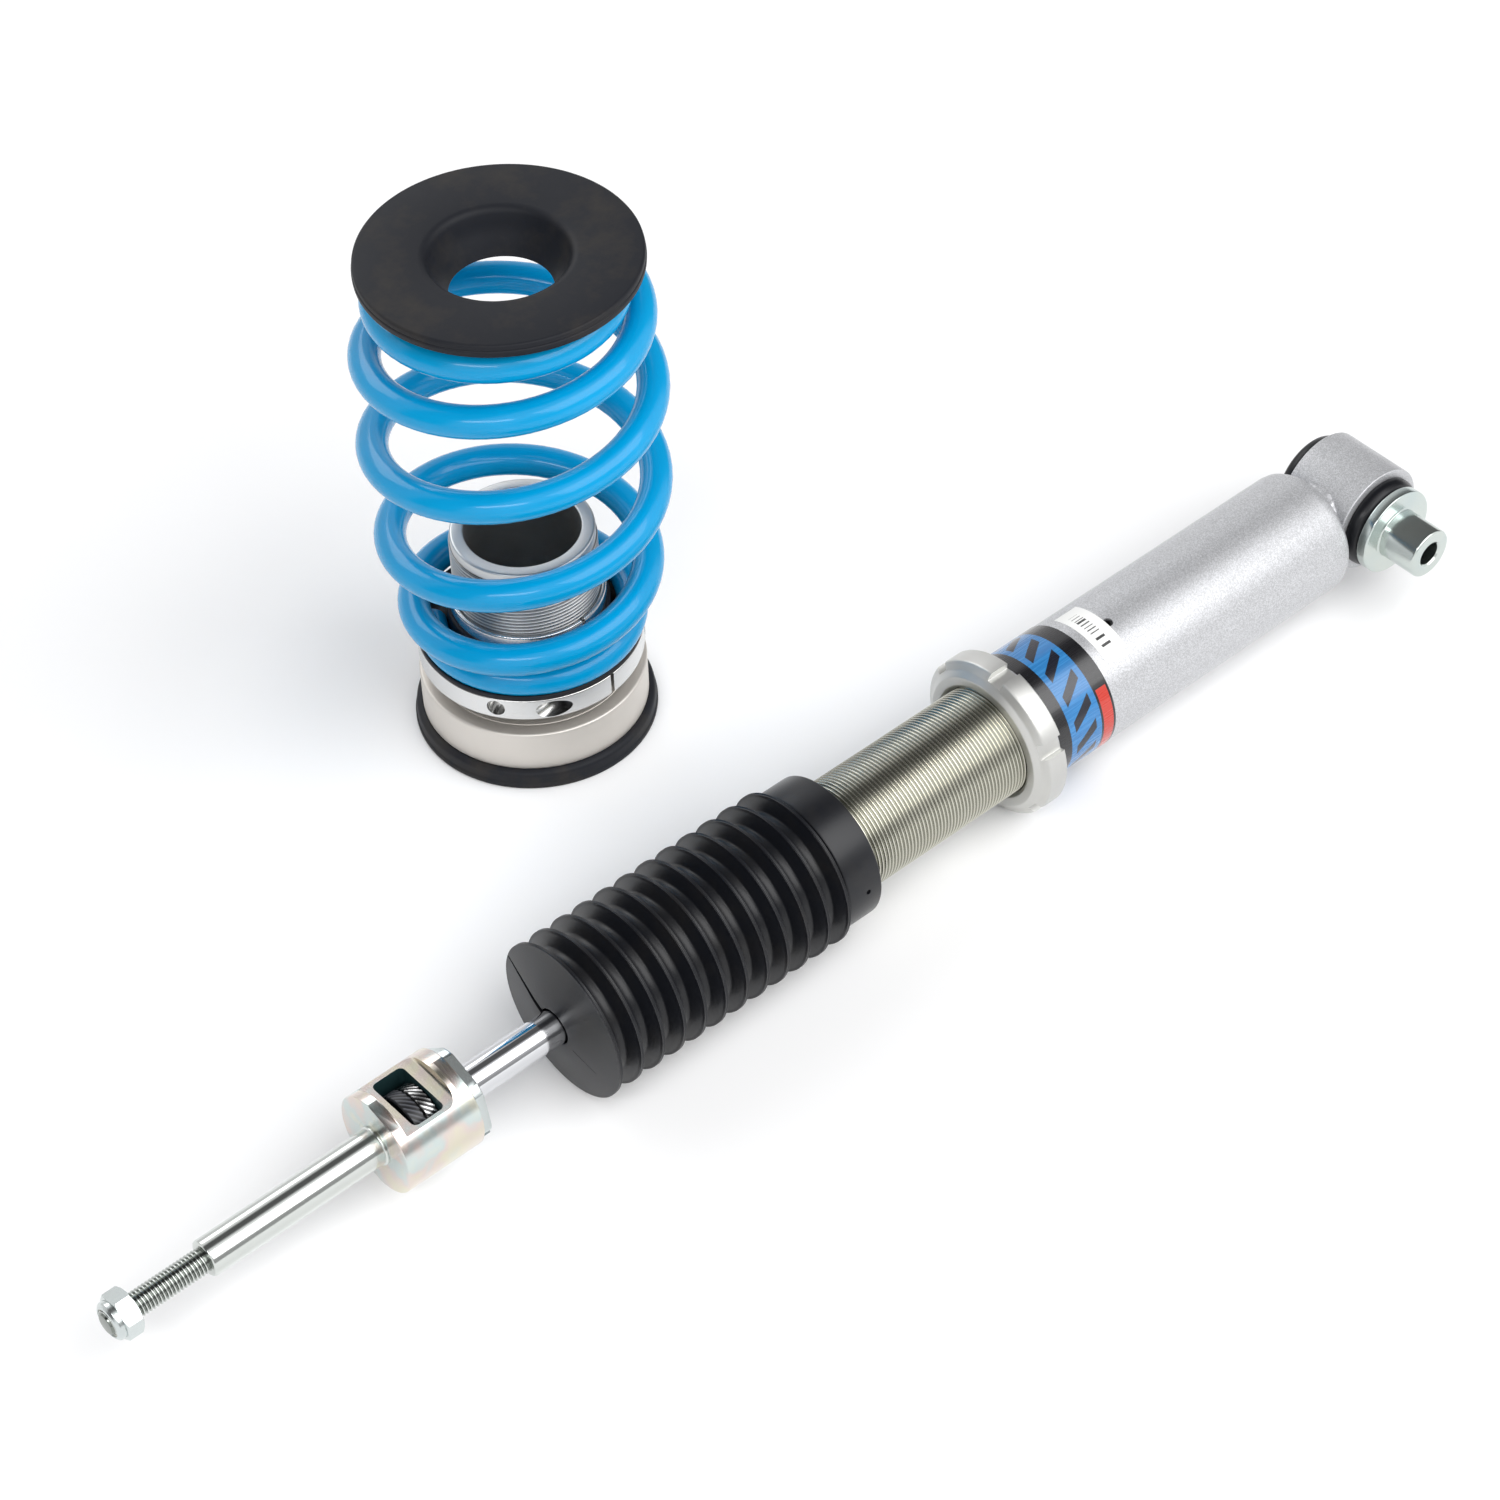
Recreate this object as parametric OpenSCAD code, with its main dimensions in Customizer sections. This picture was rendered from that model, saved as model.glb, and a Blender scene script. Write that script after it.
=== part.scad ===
/* [Lower mount] */
// Outer radius of the lower body
body_r = 31.5; // [30:0.1:33]
// Distance from the eye centre to the closed end of the lower body
body_start = 29; // [28.5:0.1:30]
// Distance from the eye centre to the open mouth of the lower body
body_mouth = 229.2; // [226:0.1:232]
// Radius of the eye barrel
eye_r = 27.1; // [26.5:0.1:27.5]
// Width of the eye barrel
eye_w = 38; // [36:0.5:38]
// Radius of the bolt hole through the bush sleeve
bolt_r = 6.1; // [6:0.05:7]
// Reach of the bush sleeve's long end from the damper's axis
sleeve_reach = 53.5; // [50:0.5:60]
// Radius of the bush sleeve's flange
flange_r = 22.2; // [20:0.1:23]

/* [Damper] */
// Radius of the threaded damper tube
tube_r = 27.4; // [27:0.05:27.5]
// Radius of the damper tube's bore
bore_r = 23.05; // [22.5:0.05:24]
// Radius of the piston rod
rod_r = 8.2; // [7.5:0.1:8.2]
// Radius of the lock ring
ring_r = 40.2; // [38:0.1:40.2]
// Thickness of the lock ring at its rim
ring_w = 10.4; // [9:0.1:12]
// Number of spanner slots in the lock ring
ring_slots = 6; // [4:1:8]
// Stroke of the piston rod
stroke = 90; // [60:1:90]

/* [Dust boot] */
// Radius over the boot's ridges
boot_r = 38.5; // [37:0.1:39]
// Number of ridges, the front disc included
boot_ridges = 12; // [8:1:12]
// Distance from one ridge to the next
boot_pitch = 11.95; // [11:0.05:12]
// Radius of the boot's cuff
cuff_r = 35.5; // [35:0.1:36]

/* [Adjuster and stud] */
// Radius of the adjuster housing
housing_r = 23.7; // [23:0.1:25]
// Length of the adjuster housing
housing_len = 39.7; // [38:0.1:42]
// Radius of the extension rod
extension_r = 8.6; // [8.4:0.1:8.6]
// Radius of the stud's thread
stud_r = 5.9; // [5.8:0.05:5.95]
// Hexagon size of the top nut, across flats
nut_af = 19; // [18:0.5:19]

/* [Spring unit] */
// Place of the spring unit along the damper
unit_x = 353.2; // [300:0.1:400]
// Place of the spring unit beside the damper
unit_y = -192.7; // [-260:0.1:-150]
// Radius of the top pad
top_pad_r = 64; // [62:0.5:66]
// Height of the top pad's upper face over the floor
top_pad_z = 271.7; // [271:0.1:272]
// Diameter of the spring wire
wire_d = 15; // [14:0.1:15]
// Radius of the lowest coil, to the wire's centre
coil_low_r = 46; // [46:0.1:46.5]
// Radius of the middle coils, to the wire's centre
coil_mid_r = 63.8; // [60:0.1:64]
// Radius of the highest coil, to the wire's centre
coil_top_r = 52; // [50:0.1:54]
// Number of rising turns of the spring
coil_turns = 5; // [4.5:0.5:5.5]
// Radius of the base cup
cup_r = 53.9; // [53:0.1:55]
// Radius of the perch ring
perch_r = 53.5; // [52.5:0.1:54]
// Radius of the threaded sleeve
sleeve_r = 34.4; // [34:0.1:34.5]

/* [Hidden] */
$fn = 96;
floor_z = -ring_r;                 // what both units stand or lie on
fit = 0.05;                        // radial play of a running fit
body_bore = tube_r + 0.3;
body_floor = 41;                   // inside of the lower body's closed end
tube_start = 120;
tube_end = 362;
guide_start = 340;
guide_end = 356;
gland_end = 369;
gland_r = tube_r + 0.9;
piston_x = 300;
piston_w = 18;
rod_bore_r = 2.6;
boot_rim_x = 493.1;                // the front disc's edge
boot_hole_x = 498.5;
boot_wall = 1.8;
boot_valley_r = 31.6;
cuff_start = 339.5;
cuff_end = 359.4;
bump_start = gland_end + stroke + 1;
jam_x = 550.9;
jam_w = 4.6;
housing_x = 555.7;
housing_end = housing_x + housing_len;
flat_h = 16;                       // the window flat's distance from the axis
knob_x = 575.3;
knob_w = 6.6;
window_x = 568.4;
window_w = 16.3;
cavity_r = 15.9;
shoulder_x = 684.2;
stud_end = 733.4;
nut_x = 720.7;
nut_h = 8.2;
collar_h = 3.5;
base_pad_h = 9;
cup_top = 31.1;
sleeve_top = 113;
sleeve_bore = 27.2;
perch_low = 40.7;
perch_rim = 52.8;
perch_seat = 51;
hub_r = 36.9;
hub_top = 77;
unit_turn = 54.1;
slit_angle = 41.7;
screw_reach = 44.1;                // from the axis to the clamp screw
screw_z = 46;
coil_low_z = 59.6;
coil_rise = 191.9;                 // of the turns that work
dead_low = 0.25;                   // flat part of a turn at the bottom
end_turn = 0.4;                    // part of a turn that winds inwards at the top
end_rise = 4;
end_draw = 3.2;
coil_top_z = coil_low_z + coil_rise + end_rise + wire_d / 2;
wire_r = wire_d / 2;

// A turned piece on the damper's axis, from points of radius and distance along +X
module turned(points) rotate([0, 90, 0]) rotate_extrude() polygon(points);
module bar(r, x0, x1) translate([x0, 0, 0]) rotate([0, 90, 0]) cylinder(r = r, h = x1 - x0);
module ring(r_out, r_in, x0, x1) difference() {
    bar(r_out, x0, x1);
    bar(r_in, x0 - 1, x1 + 1);
}
module hexbar(af, x0, x1) translate([x0, 0, 0]) rotate([0, 90, 0])
    cylinder(r = af / sqrt(3), h = x1 - x0, $fn = 6);
// Points on a quarter round of radius r about [cx, cy], from angle a to b
function round_off(cx, cy, r, a, b, n = 6) =
    [for (i = [0:n]) [cx + r * cos(a + (b - a) * i / n), cy + r * sin(a + (b - a) * i / n)]];
// The spring unit's own frame, which stands on the floor with the wire's end turned to its side
module unit() translate([unit_x, unit_y, floor_z]) rotate([0, 0, unit_turn]) children();

module lower_body() color("silver") difference() {
    turned(concat([[0, body_start]], round_off(body_r - 7, body_start + 7, 7, -90, 0),
                  [[body_r, body_mouth], [body_bore, body_mouth],
                   [body_bore, body_floor], [0, body_floor]]));
    rotate([-9, 0, 0]) translate([170, 0, 0]) cylinder(r = 3, h = 40);
}

module lower_eye() color("silver") difference() {
    union() {
        rotate([90, 0, 0]) cylinder(r = eye_r, h = eye_w, center = true);
        turned([[0, 0], [17.5, 0], [17.5, 24], [15, 26.5], [15, body_start], [0, body_start]]);
    }
    rotate([90, 0, 0]) cylinder(r = 22, h = eye_w + 4, center = true);
}

module bush_rubber() color("#1c1c1e") rotate([-90, 0, 0]) rotate_extrude() polygon(concat(
    [[12.75, -26.3], [20.2, -26.3]], round_off(20.2, -22.9, 3.4, -90, 0), [[23.6, -19.1], [21.9, -19.1],
    [21.9, 19.1], [23.6, 19.1]], round_off(20.2, 22.9, 3.4, 0, 90), [[12.75, 26.3]]));

module bush_sleeve() color("#cfd2c8") rotate([-90, 0, 0]) rotate_extrude() polygon([
    [bolt_r, -26.8], [12, -26.8], [12.7, -26.1], [12.7, 26.5], [flange_r - 1, 26.5], [flange_r, 27.5],
    [flange_r, 31], [flange_r - 1, 32], [12.7, 32], [12.7, sleeve_reach - 1.2],
    [11.5, sleeve_reach], [bolt_r, sleeve_reach]]);

module grub_screw() color("#2b2b2b") rotate([-9, 0, 0]) translate([170, 0, 27.7]) difference() {
    cylinder(r = 2.95, h = 3);
    translate([0, 0, 1]) cylinder(r = 1.7, h = 3, $fn = 6);
}

module label_band() color("#2f6fc0") ring(body_r + 0.25, body_r, 190, 225);

module spec_label() color("white") rotate([-4, 0, 0]) translate([171, 0, 0]) rotate([0, 90, 0])
    rotate([0, 0, 148]) rotate_extrude(angle = 64) translate([body_r, 0]) square([0.2, 14]);

module lock_ring() color("#c9c8c4") difference() {
    turned([[body_bore, body_mouth], [ring_r - 0.8, body_mouth], [ring_r, body_mouth + 0.8],
            [ring_r, body_mouth + ring_w - 0.8], [ring_r - 0.8, body_mouth + ring_w],
            [36, body_mouth + ring_w + 2.4], [33.5, body_mouth + ring_w + 4.6],
            [29.6, body_mouth + ring_w + 4.6], [body_bore, body_mouth + ring_w + 2.6]]);
    for (i = [0:ring_slots - 1]) rotate([-5.5 + i * 360 / ring_slots, 0, 0])
        translate([body_mouth - 1, -4, ring_r - 3.4]) cube([ring_w + 4, 8, 8]);
}

module damper_tube() color("#b9b8ad") ring(tube_r, bore_r, tube_start, tube_end);

module base_cap() color("silver") turned([[0, tube_start - 3], [6, tube_start - 3],
    [6, tube_start], [bore_r, tube_start], [bore_r, tube_start + 8], [0, tube_start + 8]]);

module gland_nut() color("#3a3a3c") turned([[bore_r, guide_end], [bore_r, tube_end],
    [gland_r, tube_end], [gland_r, gland_end - 1.5], [gland_r - 1.5, gland_end],
    [rod_r + 0.4, gland_end], [rod_r + 0.4, gland_end - 3.2], [12.5, gland_end - 3.2],
    [12.5, guide_end]]);

module floating_piston() color("silver") turned([[0, 170], [22.4, 170], [23, 170.6], [23, 175.7],
    [21, 175.7], [21, 178.3], [23, 178.3], [23, 183.4], [22.4, 184], [14, 184], [12, 178], [0, 178]]);

module floating_seal() color("#111111") ring(23, 21, 175.8, 178.2);

module rod_guide() color("#8f8f8f") turned([[rod_r + fit, guide_start], [20, guide_start],
    [bore_r - fit, guide_start + 3], [bore_r - fit, guide_end], [rod_r + fit, guide_end]]);

module rod_seal() color("#161616") turned([[rod_r + fit, guide_end + 2], [rod_r + 1.8, guide_end + 0.2],
    [12.3, guide_end + 0.2], [12.3, gland_end - 3.4], [rod_r + 2.4, gland_end - 3.4],
    [rod_r + fit, gland_end - 5.5]]);

// Ridges and valleys from the cuff to the front disc, drawn in by the depth given
function boot_line(depth) = [for (i = [boot_ridges - 1:-1:0]) let (x = boot_rim_x - i * boot_pitch) each
    [[boot_r - depth, x - 0.8], [boot_r - depth, x + 0.8],
     if (i > 0) [boot_valley_r - depth, x + boot_pitch / 2 - 0.6],
     if (i > 0) [boot_valley_r - depth, x + boot_pitch / 2 + 0.6]]];
function backwards(list) = [for (i = [len(list) - 1:-1:0]) list[i]];

module dust_boot() color("#1d1d1f") difference() {
    turned(concat([[tube_r, cuff_start], [cuff_r - 0.8, cuff_start], [cuff_r, cuff_start + 0.8],
        [cuff_r, cuff_end - 1.5], [boot_valley_r + 1.5, cuff_end]], boot_line(0),
        [[rod_r + 0.4, boot_hole_x], [rod_r + 0.4, boot_hole_x - boot_wall],
         [boot_valley_r - boot_wall, boot_rim_x - boot_wall]],
        backwards([for (p = boot_line(boot_wall)) if (p[1] < boot_rim_x - 2) p]),
        [[boot_valley_r - boot_wall, cuff_end + 0.6], [cuff_r - 2.2, cuff_end - 4],
         [cuff_r - 2.2, cuff_start + 3], [tube_r, cuff_start + 3]]));
    translate([cuff_start + 8, 0, 0]) rotate([-86, 0, 0]) cylinder(r = 1.3, h = cuff_r + 2);
}

module piston_rod() color("#dfe2e6") turned([[rod_bore_r, 291], [6, 291], [6, piston_x + piston_w + 3.4],
    [rod_r, piston_x + piston_w + 3.4], [rod_r, housing_x + 10.6], [rod_bore_r, housing_x + 10.6]]);

module piston() color("#9a9a92") difference() {
    turned([[6, piston_x], [21.6, piston_x], [22.6, piston_x + 1], [22.6, piston_x + 4.9],
            [21.4, piston_x + 4.9], [21.4, piston_x + 13.1], [22.6, piston_x + 13.1],
            [22.6, piston_x + 17], [21.6, piston_x + 18], [6, piston_x + 18]]);
    for (i = [0:5]) rotate([i * 60, 0, 0]) translate([piston_x - 1, 0, 13.5])
        rotate([0, 90, 0]) cylinder(r = 2.4, h = piston_w + 2, $fn = 32);
}

module piston_band() color("#6b4a2f") ring(bore_r - fit, 21.45, piston_x + 5, piston_x + 13);

module shim_stack() color("#c8ccd0") {
    ring(17.5, 6, piston_x + piston_w, piston_x + piston_w + 1.6);
    ring(12.5, 6, piston_x + piston_w + 1.6, piston_x + piston_w + 3.4);
    ring(17.5, 6, piston_x - 1.2, piston_x);
}

module piston_nut() color("#b8b8b0") difference() {
    hexbar(17, piston_x - 7.2, piston_x - 1.2);
    bar(6, piston_x - 10, piston_x);
}

module bump_stop() color("#e8c65a") turned([[rod_r + 0.3, bump_start], [13, bump_start],
    [16, bump_start + 2], [16, bump_start + 6], [13, bump_start + 8], [13, bump_start + 9],
    [19, bump_start + 12], [19, bump_start + 18], [16, bump_start + 20],
    [rod_r + 0.3, bump_start + 20]]);

module jam_nut() color("#c4c8cc") difference() {
    intersection() {
        hexbar(41.4, jam_x, jam_x + jam_w);
        turned([[0, jam_x], [21.6, jam_x], [22.6, jam_x + 1.2], [22.6, jam_x + jam_w], [0, jam_x + jam_w]]);
    }
    bar(rod_r + fit, jam_x - 1, jam_x + jam_w + 1);
}

module adjuster_housing() color("#cfd0c2") difference() {
    turned([[0, housing_x], [housing_r - 0.6, housing_x], [housing_r, housing_x + 0.6],
            [housing_r, housing_end - 0.6], [housing_r - 0.6, housing_end], [0, housing_end]]);
    bar(rod_r, housing_x - 1, housing_x + 11);
    bar(cavity_r, window_x, window_x + window_w);
    bar(5, housing_x + 10, window_x + 1);
    bar(extension_r, housing_end - 8, housing_end + 1);
    // The flat over the window, and the window
    translate([housing_x + 3.2, -30, flat_h]) cube([27, 60, 20]);
    translate([window_x, -15, 4]) cube([window_w, 30, 30]);
    // Two spanner flats
    for (a = [0, 180]) rotate([a - 14.5, 0, 0])
        translate([housing_x - 1, -20, 22.3]) cube([housing_len + 2, 40, 5]);
}

module extension_rod() color("#d8dadc") turned([[0, housing_end - 8], [extension_r, housing_end - 8],
    [extension_r, housing_end], [extension_r + 0.9, housing_end], [extension_r + 0.9, housing_end + 1],
    [extension_r, housing_end + 1.2], [extension_r, shoulder_x - 1.2], [extension_r - 1.2, shoulder_x],
    [stud_r, shoulder_x], [stud_r, stud_end - 1], [stud_r - 1, stud_end], [0, stud_end]]);

module needle_rod() color("#b0b4b8") turned([[0, 312], [2.5, 320], [2.5, knob_x + 3], [0, knob_x + 3]]);

module damping_knob() color("#18181a") turned([[rod_bore_r, knob_x], [13.9, knob_x], [15.3, knob_x + 1.2],
    [15.3, knob_x + knob_w - 1.4], [13.9, knob_x + knob_w], [6, knob_x + knob_w],
    [6, knob_x + knob_w + 2], [0, knob_x + knob_w + 2],
    [0, knob_x + 5], [rod_bore_r, knob_x + 5]]);

module click_ring() color("#c9ccce") ring(14.6, 4, knob_x - knob_w, knob_x - 0.2);

module nut_insert() color("#f0efe8") ring(8, stud_r + fit, nut_x + nut_h - 0.5, nut_x + nut_h + 2.6);

module top_nut() color("#c8ccc6") difference() {
    union() {
        intersection() {
            hexbar(nut_af, nut_x, nut_x + nut_h);
            turned([[0, nut_x], [nut_af / 2, nut_x], [11.2, nut_x + 1], [11.2, nut_x + nut_h - 1],
                    [nut_af / 2, nut_x + nut_h], [0, nut_x + nut_h]]);
        }
        turned([[0, nut_x + nut_h - 1], [9.1, nut_x + nut_h - 1], [9.1, nut_x + nut_h + 2.3],
                [7.9, nut_x + nut_h + collar_h], [0, nut_x + nut_h + collar_h]]);
    }
    bar(stud_r + fit, nut_x - 1, nut_x + nut_h + 5);
    bar(8, nut_x + nut_h - 0.5, nut_x + nut_h + 2.6);
}

module base_pad() color("#202022") unit() rotate_extrude() polygon(concat(
    [[sleeve_bore, 0]], round_off(56.9, 1, 1, -90, 0, 3), [[57.9, 2.6], [57.2, 3.2]],
    round_off(54.7, 6.5, 2.5, 0, 90), [[sleeve_bore, base_pad_h]]));

module base_cup() color("#c6c3bb") unit() rotate_extrude() polygon([
    [sleeve_r + 0.03, base_pad_h], [cup_r - 1, base_pad_h], [cup_r, base_pad_h + 1],
    [cup_r, cup_top - 1], [cup_r - 1, cup_top], [sleeve_r + 0.03, cup_top]]);

module threaded_sleeve() color("#b9b7b0") unit() rotate_extrude() polygon([
    [sleeve_bore, base_pad_h], [sleeve_r, base_pad_h], [sleeve_r, sleeve_top - 1.4],
    [sleeve_r - 1.4, sleeve_top], [sleeve_bore + 0.8, sleeve_top], [sleeve_bore, sleeve_top - 0.8]]);

module spring_isolator() color("#151517") unit() difference() {
    rotate_extrude() polygon([[hub_r + 0.1, perch_seat], [51.4, perch_seat], [51.4, perch_rim],
        [53, perch_rim], [53, perch_rim + 2.4], [52.2, perch_rim + 2.4], [49.5, perch_seat + 1.6],
        [hub_r + 3.6, perch_seat + 2.4], [hub_r + 1.4, 61], [hub_r + 1.2, 69], [hub_r + 0.1, 70]]);
    // The groove that the wire lies in, widened for where it starts to rise
    for (rise = [0:0.8:2.4]) translate([0, 0, coil_low_z + rise]) rotate_extrude()
        translate([coil_low_r + rise, 0]) circle(r = wire_r + 0.5);
}

module perch_ring() color("#d9d8d4") unit() difference() {
    rotate_extrude() polygon([[sleeve_r + fit, perch_low + 1], [sleeve_r + fit + 1, perch_low],
        [perch_r - 1.2, perch_low], [perch_r, perch_low + 1.2], [perch_r, perch_rim - 0.6],
        [perch_r - 0.6, perch_rim], [51.7, perch_rim], [51.7, perch_seat], [hub_r, perch_seat],
        [hub_r, hub_top - 1.2], [hub_r - 1.2, hub_top], [sleeve_r + fit, hub_top]]);
    rotate(slit_angle) translate([sleeve_r - 4, -1, perch_low - 1]) cube([30, 2, hub_top]);
    for (a = [-21.1, -111.1, 158.9, 87]) rotate(a) translate([perch_r - 8, 0, 47])
        rotate([0, 90, 0]) cylinder(r = 4.3, h = 9);
    clamp_axis() {
        translate([0, 0, -24]) cylinder(r = 2.9, h = 60, $fn = 48);
        translate([0, 0, 14]) cylinder(r = 4.9, h = 40);
    }
}

// The clamp screw's axis, square to the slit; +Z runs from the slit to the screw's head
module clamp_axis() rotate(slit_angle) translate([screw_reach, 0, screw_z]) rotate([90, 0, 0]) children();

module clamp_screw() color("#6d6f72") unit() clamp_axis() difference() {
    union() {
        translate([0, 0, -18]) cylinder(r = 2.85, h = 34, $fn = 48);
        translate([0, 0, 14]) cylinder(r = 4.25, h = 5);
    }
    translate([0, 0, 16.4]) cylinder(r = 2.3, h = 4, $fn = 6);
}

// Radius and height of the spring wire's centre, and its angle, after t turns
function coil_t(t) = min(max(t, 0), coil_turns) / coil_turns;
function coil_end(t) = max(0, t - coil_turns) / end_turn;
function coil_r(t) = coil_t(t) < 0.52 ? coil_mid_r - (coil_mid_r - coil_low_r) * pow(1 - coil_t(t) / 0.52, 1.5)
    : coil_mid_r - (coil_mid_r - coil_top_r) * pow(max(0, (coil_t(t) - 0.64) / 0.36), 2) - end_draw * coil_end(t);
function coil_z(t) = coil_low_z + end_rise * coil_end(t)
    + coil_rise * (0.12 * coil_t(t) + 0.88 * (3 * pow(coil_t(t), 2) - 2 * pow(coil_t(t), 3)));
function coil_centre(t) = [coil_r(t) * cos(360 * t), coil_r(t) * sin(360 * t), coil_z(t)];

module coil_spring() color("#1c8fd6") {
    sides = 16;
    steps = 26;
    count = round((coil_turns + dead_low + end_turn) * steps);
    points = [for (i = [0:count]) let (
        t = -dead_low + i / steps, p = coil_centre(t), q = coil_centre(t + 0.01), s = coil_centre(t - 0.01),
        d = (q - s) / norm(q - s), out = [p[0], p[1], 0] / norm([p[0], p[1]]),
        e = out - d * (out * d), n = e / norm(e), b = cross(d, n))
        for (k = [0:sides - 1]) p + wire_r * (n * cos(k * 360 / sides) + b * sin(k * 360 / sides))];
    faces = concat([[for (k = [0:sides - 1]) k]],
        [for (i = [0:count - 1], k = [0:sides - 1]) let (m = (k + 1) % sides)
            [i * sides + k, (i + 1) * sides + k, (i + 1) * sides + m, i * sides + m]],
        [[for (k = [sides - 1:-1:0]) count * sides + k]]);
    unit() polyhedron(points, faces, convexity = 12);
}

module top_pad() color("#1f1f21") unit() rotate_extrude() polygon(concat(
    [[23, 251], [27, 251], [34, 262.4], [43, 262.4], [45, coil_top_z + 0.1],
     [59, coil_top_z + 0.1], [61, 265]],
    round_off(top_pad_r - 1.2, 266.2, 1.2, -90, 0, 4), [[top_pad_r, 268.2], [top_pad_r - 0.8, 268.9]],
    round_off(top_pad_r - 2, top_pad_z - 1.6, 1.6, 0, 90, 4), round_off(34.5, top_pad_z - 3, 3, 90, 168)));

lower_body();
lower_eye();
bush_rubber();
bush_sleeve();
grub_screw();
label_band();
spec_label();
lock_ring();
damper_tube();
base_cap();
gland_nut();
floating_piston();
floating_seal();
rod_guide();
rod_seal();
dust_boot();
piston_rod();
piston();
piston_band();
shim_stack();
piston_nut();
bump_stop();
jam_nut();
adjuster_housing();
extension_rod();
needle_rod();
damping_knob();
click_ring();
nut_insert();
top_nut();
base_pad();
base_cup();
threaded_sleeve();
spring_isolator();
perch_ring();
clamp_screw();
coil_spring();
top_pad();
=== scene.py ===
import bpy, bmesh, math, random
from mathutils import Matrix, Vector
from math import cos, sin, pi, radians
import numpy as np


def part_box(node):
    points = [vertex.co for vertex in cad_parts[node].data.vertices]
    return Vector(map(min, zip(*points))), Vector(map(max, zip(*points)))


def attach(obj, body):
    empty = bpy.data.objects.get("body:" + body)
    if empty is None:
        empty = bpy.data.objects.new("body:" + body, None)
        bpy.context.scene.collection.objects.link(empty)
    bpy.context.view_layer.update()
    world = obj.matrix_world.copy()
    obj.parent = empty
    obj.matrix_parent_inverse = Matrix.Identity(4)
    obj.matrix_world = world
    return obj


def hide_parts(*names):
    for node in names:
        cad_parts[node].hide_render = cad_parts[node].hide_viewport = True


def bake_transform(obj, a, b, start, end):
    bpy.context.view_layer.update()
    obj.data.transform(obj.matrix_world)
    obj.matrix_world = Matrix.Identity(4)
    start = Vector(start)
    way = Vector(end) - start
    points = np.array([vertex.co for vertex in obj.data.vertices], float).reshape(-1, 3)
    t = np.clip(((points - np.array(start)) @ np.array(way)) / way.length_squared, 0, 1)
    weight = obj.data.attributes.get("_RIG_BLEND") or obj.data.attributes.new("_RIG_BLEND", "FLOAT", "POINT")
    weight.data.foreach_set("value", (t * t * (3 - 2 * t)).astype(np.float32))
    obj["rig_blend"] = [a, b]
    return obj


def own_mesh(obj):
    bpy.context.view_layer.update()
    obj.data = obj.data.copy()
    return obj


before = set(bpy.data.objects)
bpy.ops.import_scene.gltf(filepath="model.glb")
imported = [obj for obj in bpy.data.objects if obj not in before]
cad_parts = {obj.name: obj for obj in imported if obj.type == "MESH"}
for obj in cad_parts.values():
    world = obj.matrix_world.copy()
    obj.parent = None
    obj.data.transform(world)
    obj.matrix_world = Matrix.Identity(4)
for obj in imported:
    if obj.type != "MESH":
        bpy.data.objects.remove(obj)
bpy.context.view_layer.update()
mm = 0.001
random.seed(7)


def lowHigh(node, axis):
    low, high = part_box(node)
    return low[axis] / mm, high[axis] / mm


floorZ = lowHigh("base_pad", 2)[0]
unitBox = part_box("threaded_sleeve")
unitX = (unitBox[0][0] + unitBox[1][0]) / 2 / mm
unitY = (unitBox[0][1] + unitBox[1][1]) / 2 / mm
unitTurn = 54.1          # degrees from +X to the side the wire starts on
alongDamper = Matrix(((0, 0, 1, 0), (1, 0, 0, 0), (0, 1, 0, 0), (0, 0, 0, 1)))   # local z runs along +X
alongEye = Matrix(((0, 1, 0, 0), (0, 0, 1, 0), (1, 0, 0, 0), (0, 0, 0, 1)))      # local z runs along +Y
onUnit = Matrix.Translation((unitX * mm, unitY * mm, floorZ * mm)) @ Matrix.Rotation(radians(unitTurn), 4, "Z")


def softened(points, steps=4):
    soft = []
    for i, point in enumerate(points):
        if len(point) == 2:
            soft.append(point)
            continue
        here = Vector(point[:2])
        before = (Vector(points[i - 1][:2]) - here).normalized() * point[2]
        after = (Vector(points[(i + 1) % len(points)][:2]) - here).normalized() * point[2]
        for k in range(steps + 1):
            t = k / steps
            soft.append(tuple(here + before * (1 - t) ** 2 + after * t ** 2))
    return soft


def finish(name, bm, place, body, node, material, sharp=38, moreNodes=()):
    bmesh.ops.remove_doubles(bm, verts=bm.verts, dist=1e-6)
    bmesh.ops.dissolve_degenerate(bm, edges=bm.edges, dist=1e-6)
    bmesh.ops.recalc_face_normals(bm, faces=bm.faces)
    bmesh.ops.transform(bm, matrix=place, verts=bm.verts)
    mesh = bpy.data.meshes.new(name)
    bm.to_mesh(mesh)
    bm.free()
    piece = bpy.data.objects.new(name, mesh)
    bpy.context.scene.collection.objects.link(piece)
    mesh.shade_smooth()
    mesh.set_sharp_from_angle(angle=radians(sharp))
    mesh.materials.append(material)
    if body:
        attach(piece, body)
    if node:
        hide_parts(node, *moreNodes)
    return piece


def latheMesh(points, steps=160, closed=True, angle=360.0, start=0.0):
    bm = bmesh.new()
    verts = [bm.verts.new((r * mm * cos(radians(start)), r * mm * sin(radians(start)), h * mm))
             for r, h in softened(points)]
    edges = [bm.edges.new(pair) for pair in zip(verts, verts[1:])]
    if closed:
        edges.append(bm.edges.new((verts[-1], verts[0])))
    bmesh.ops.spin(bm, geom=verts + edges, cent=(0, 0, 0), axis=(0, 0, 1), dvec=(0, 0, 0),
                   angle=radians(angle), steps=steps, use_merge=abs(angle) == 360.0)
    bmesh.ops.remove_doubles(bm, verts=bm.verts, dist=1e-7)
    bmesh.ops.dissolve_degenerate(bm, edges=bm.edges, dist=1e-7)
    bmesh.ops.recalc_face_normals(bm, faces=bm.faces)
    return bm


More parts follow.
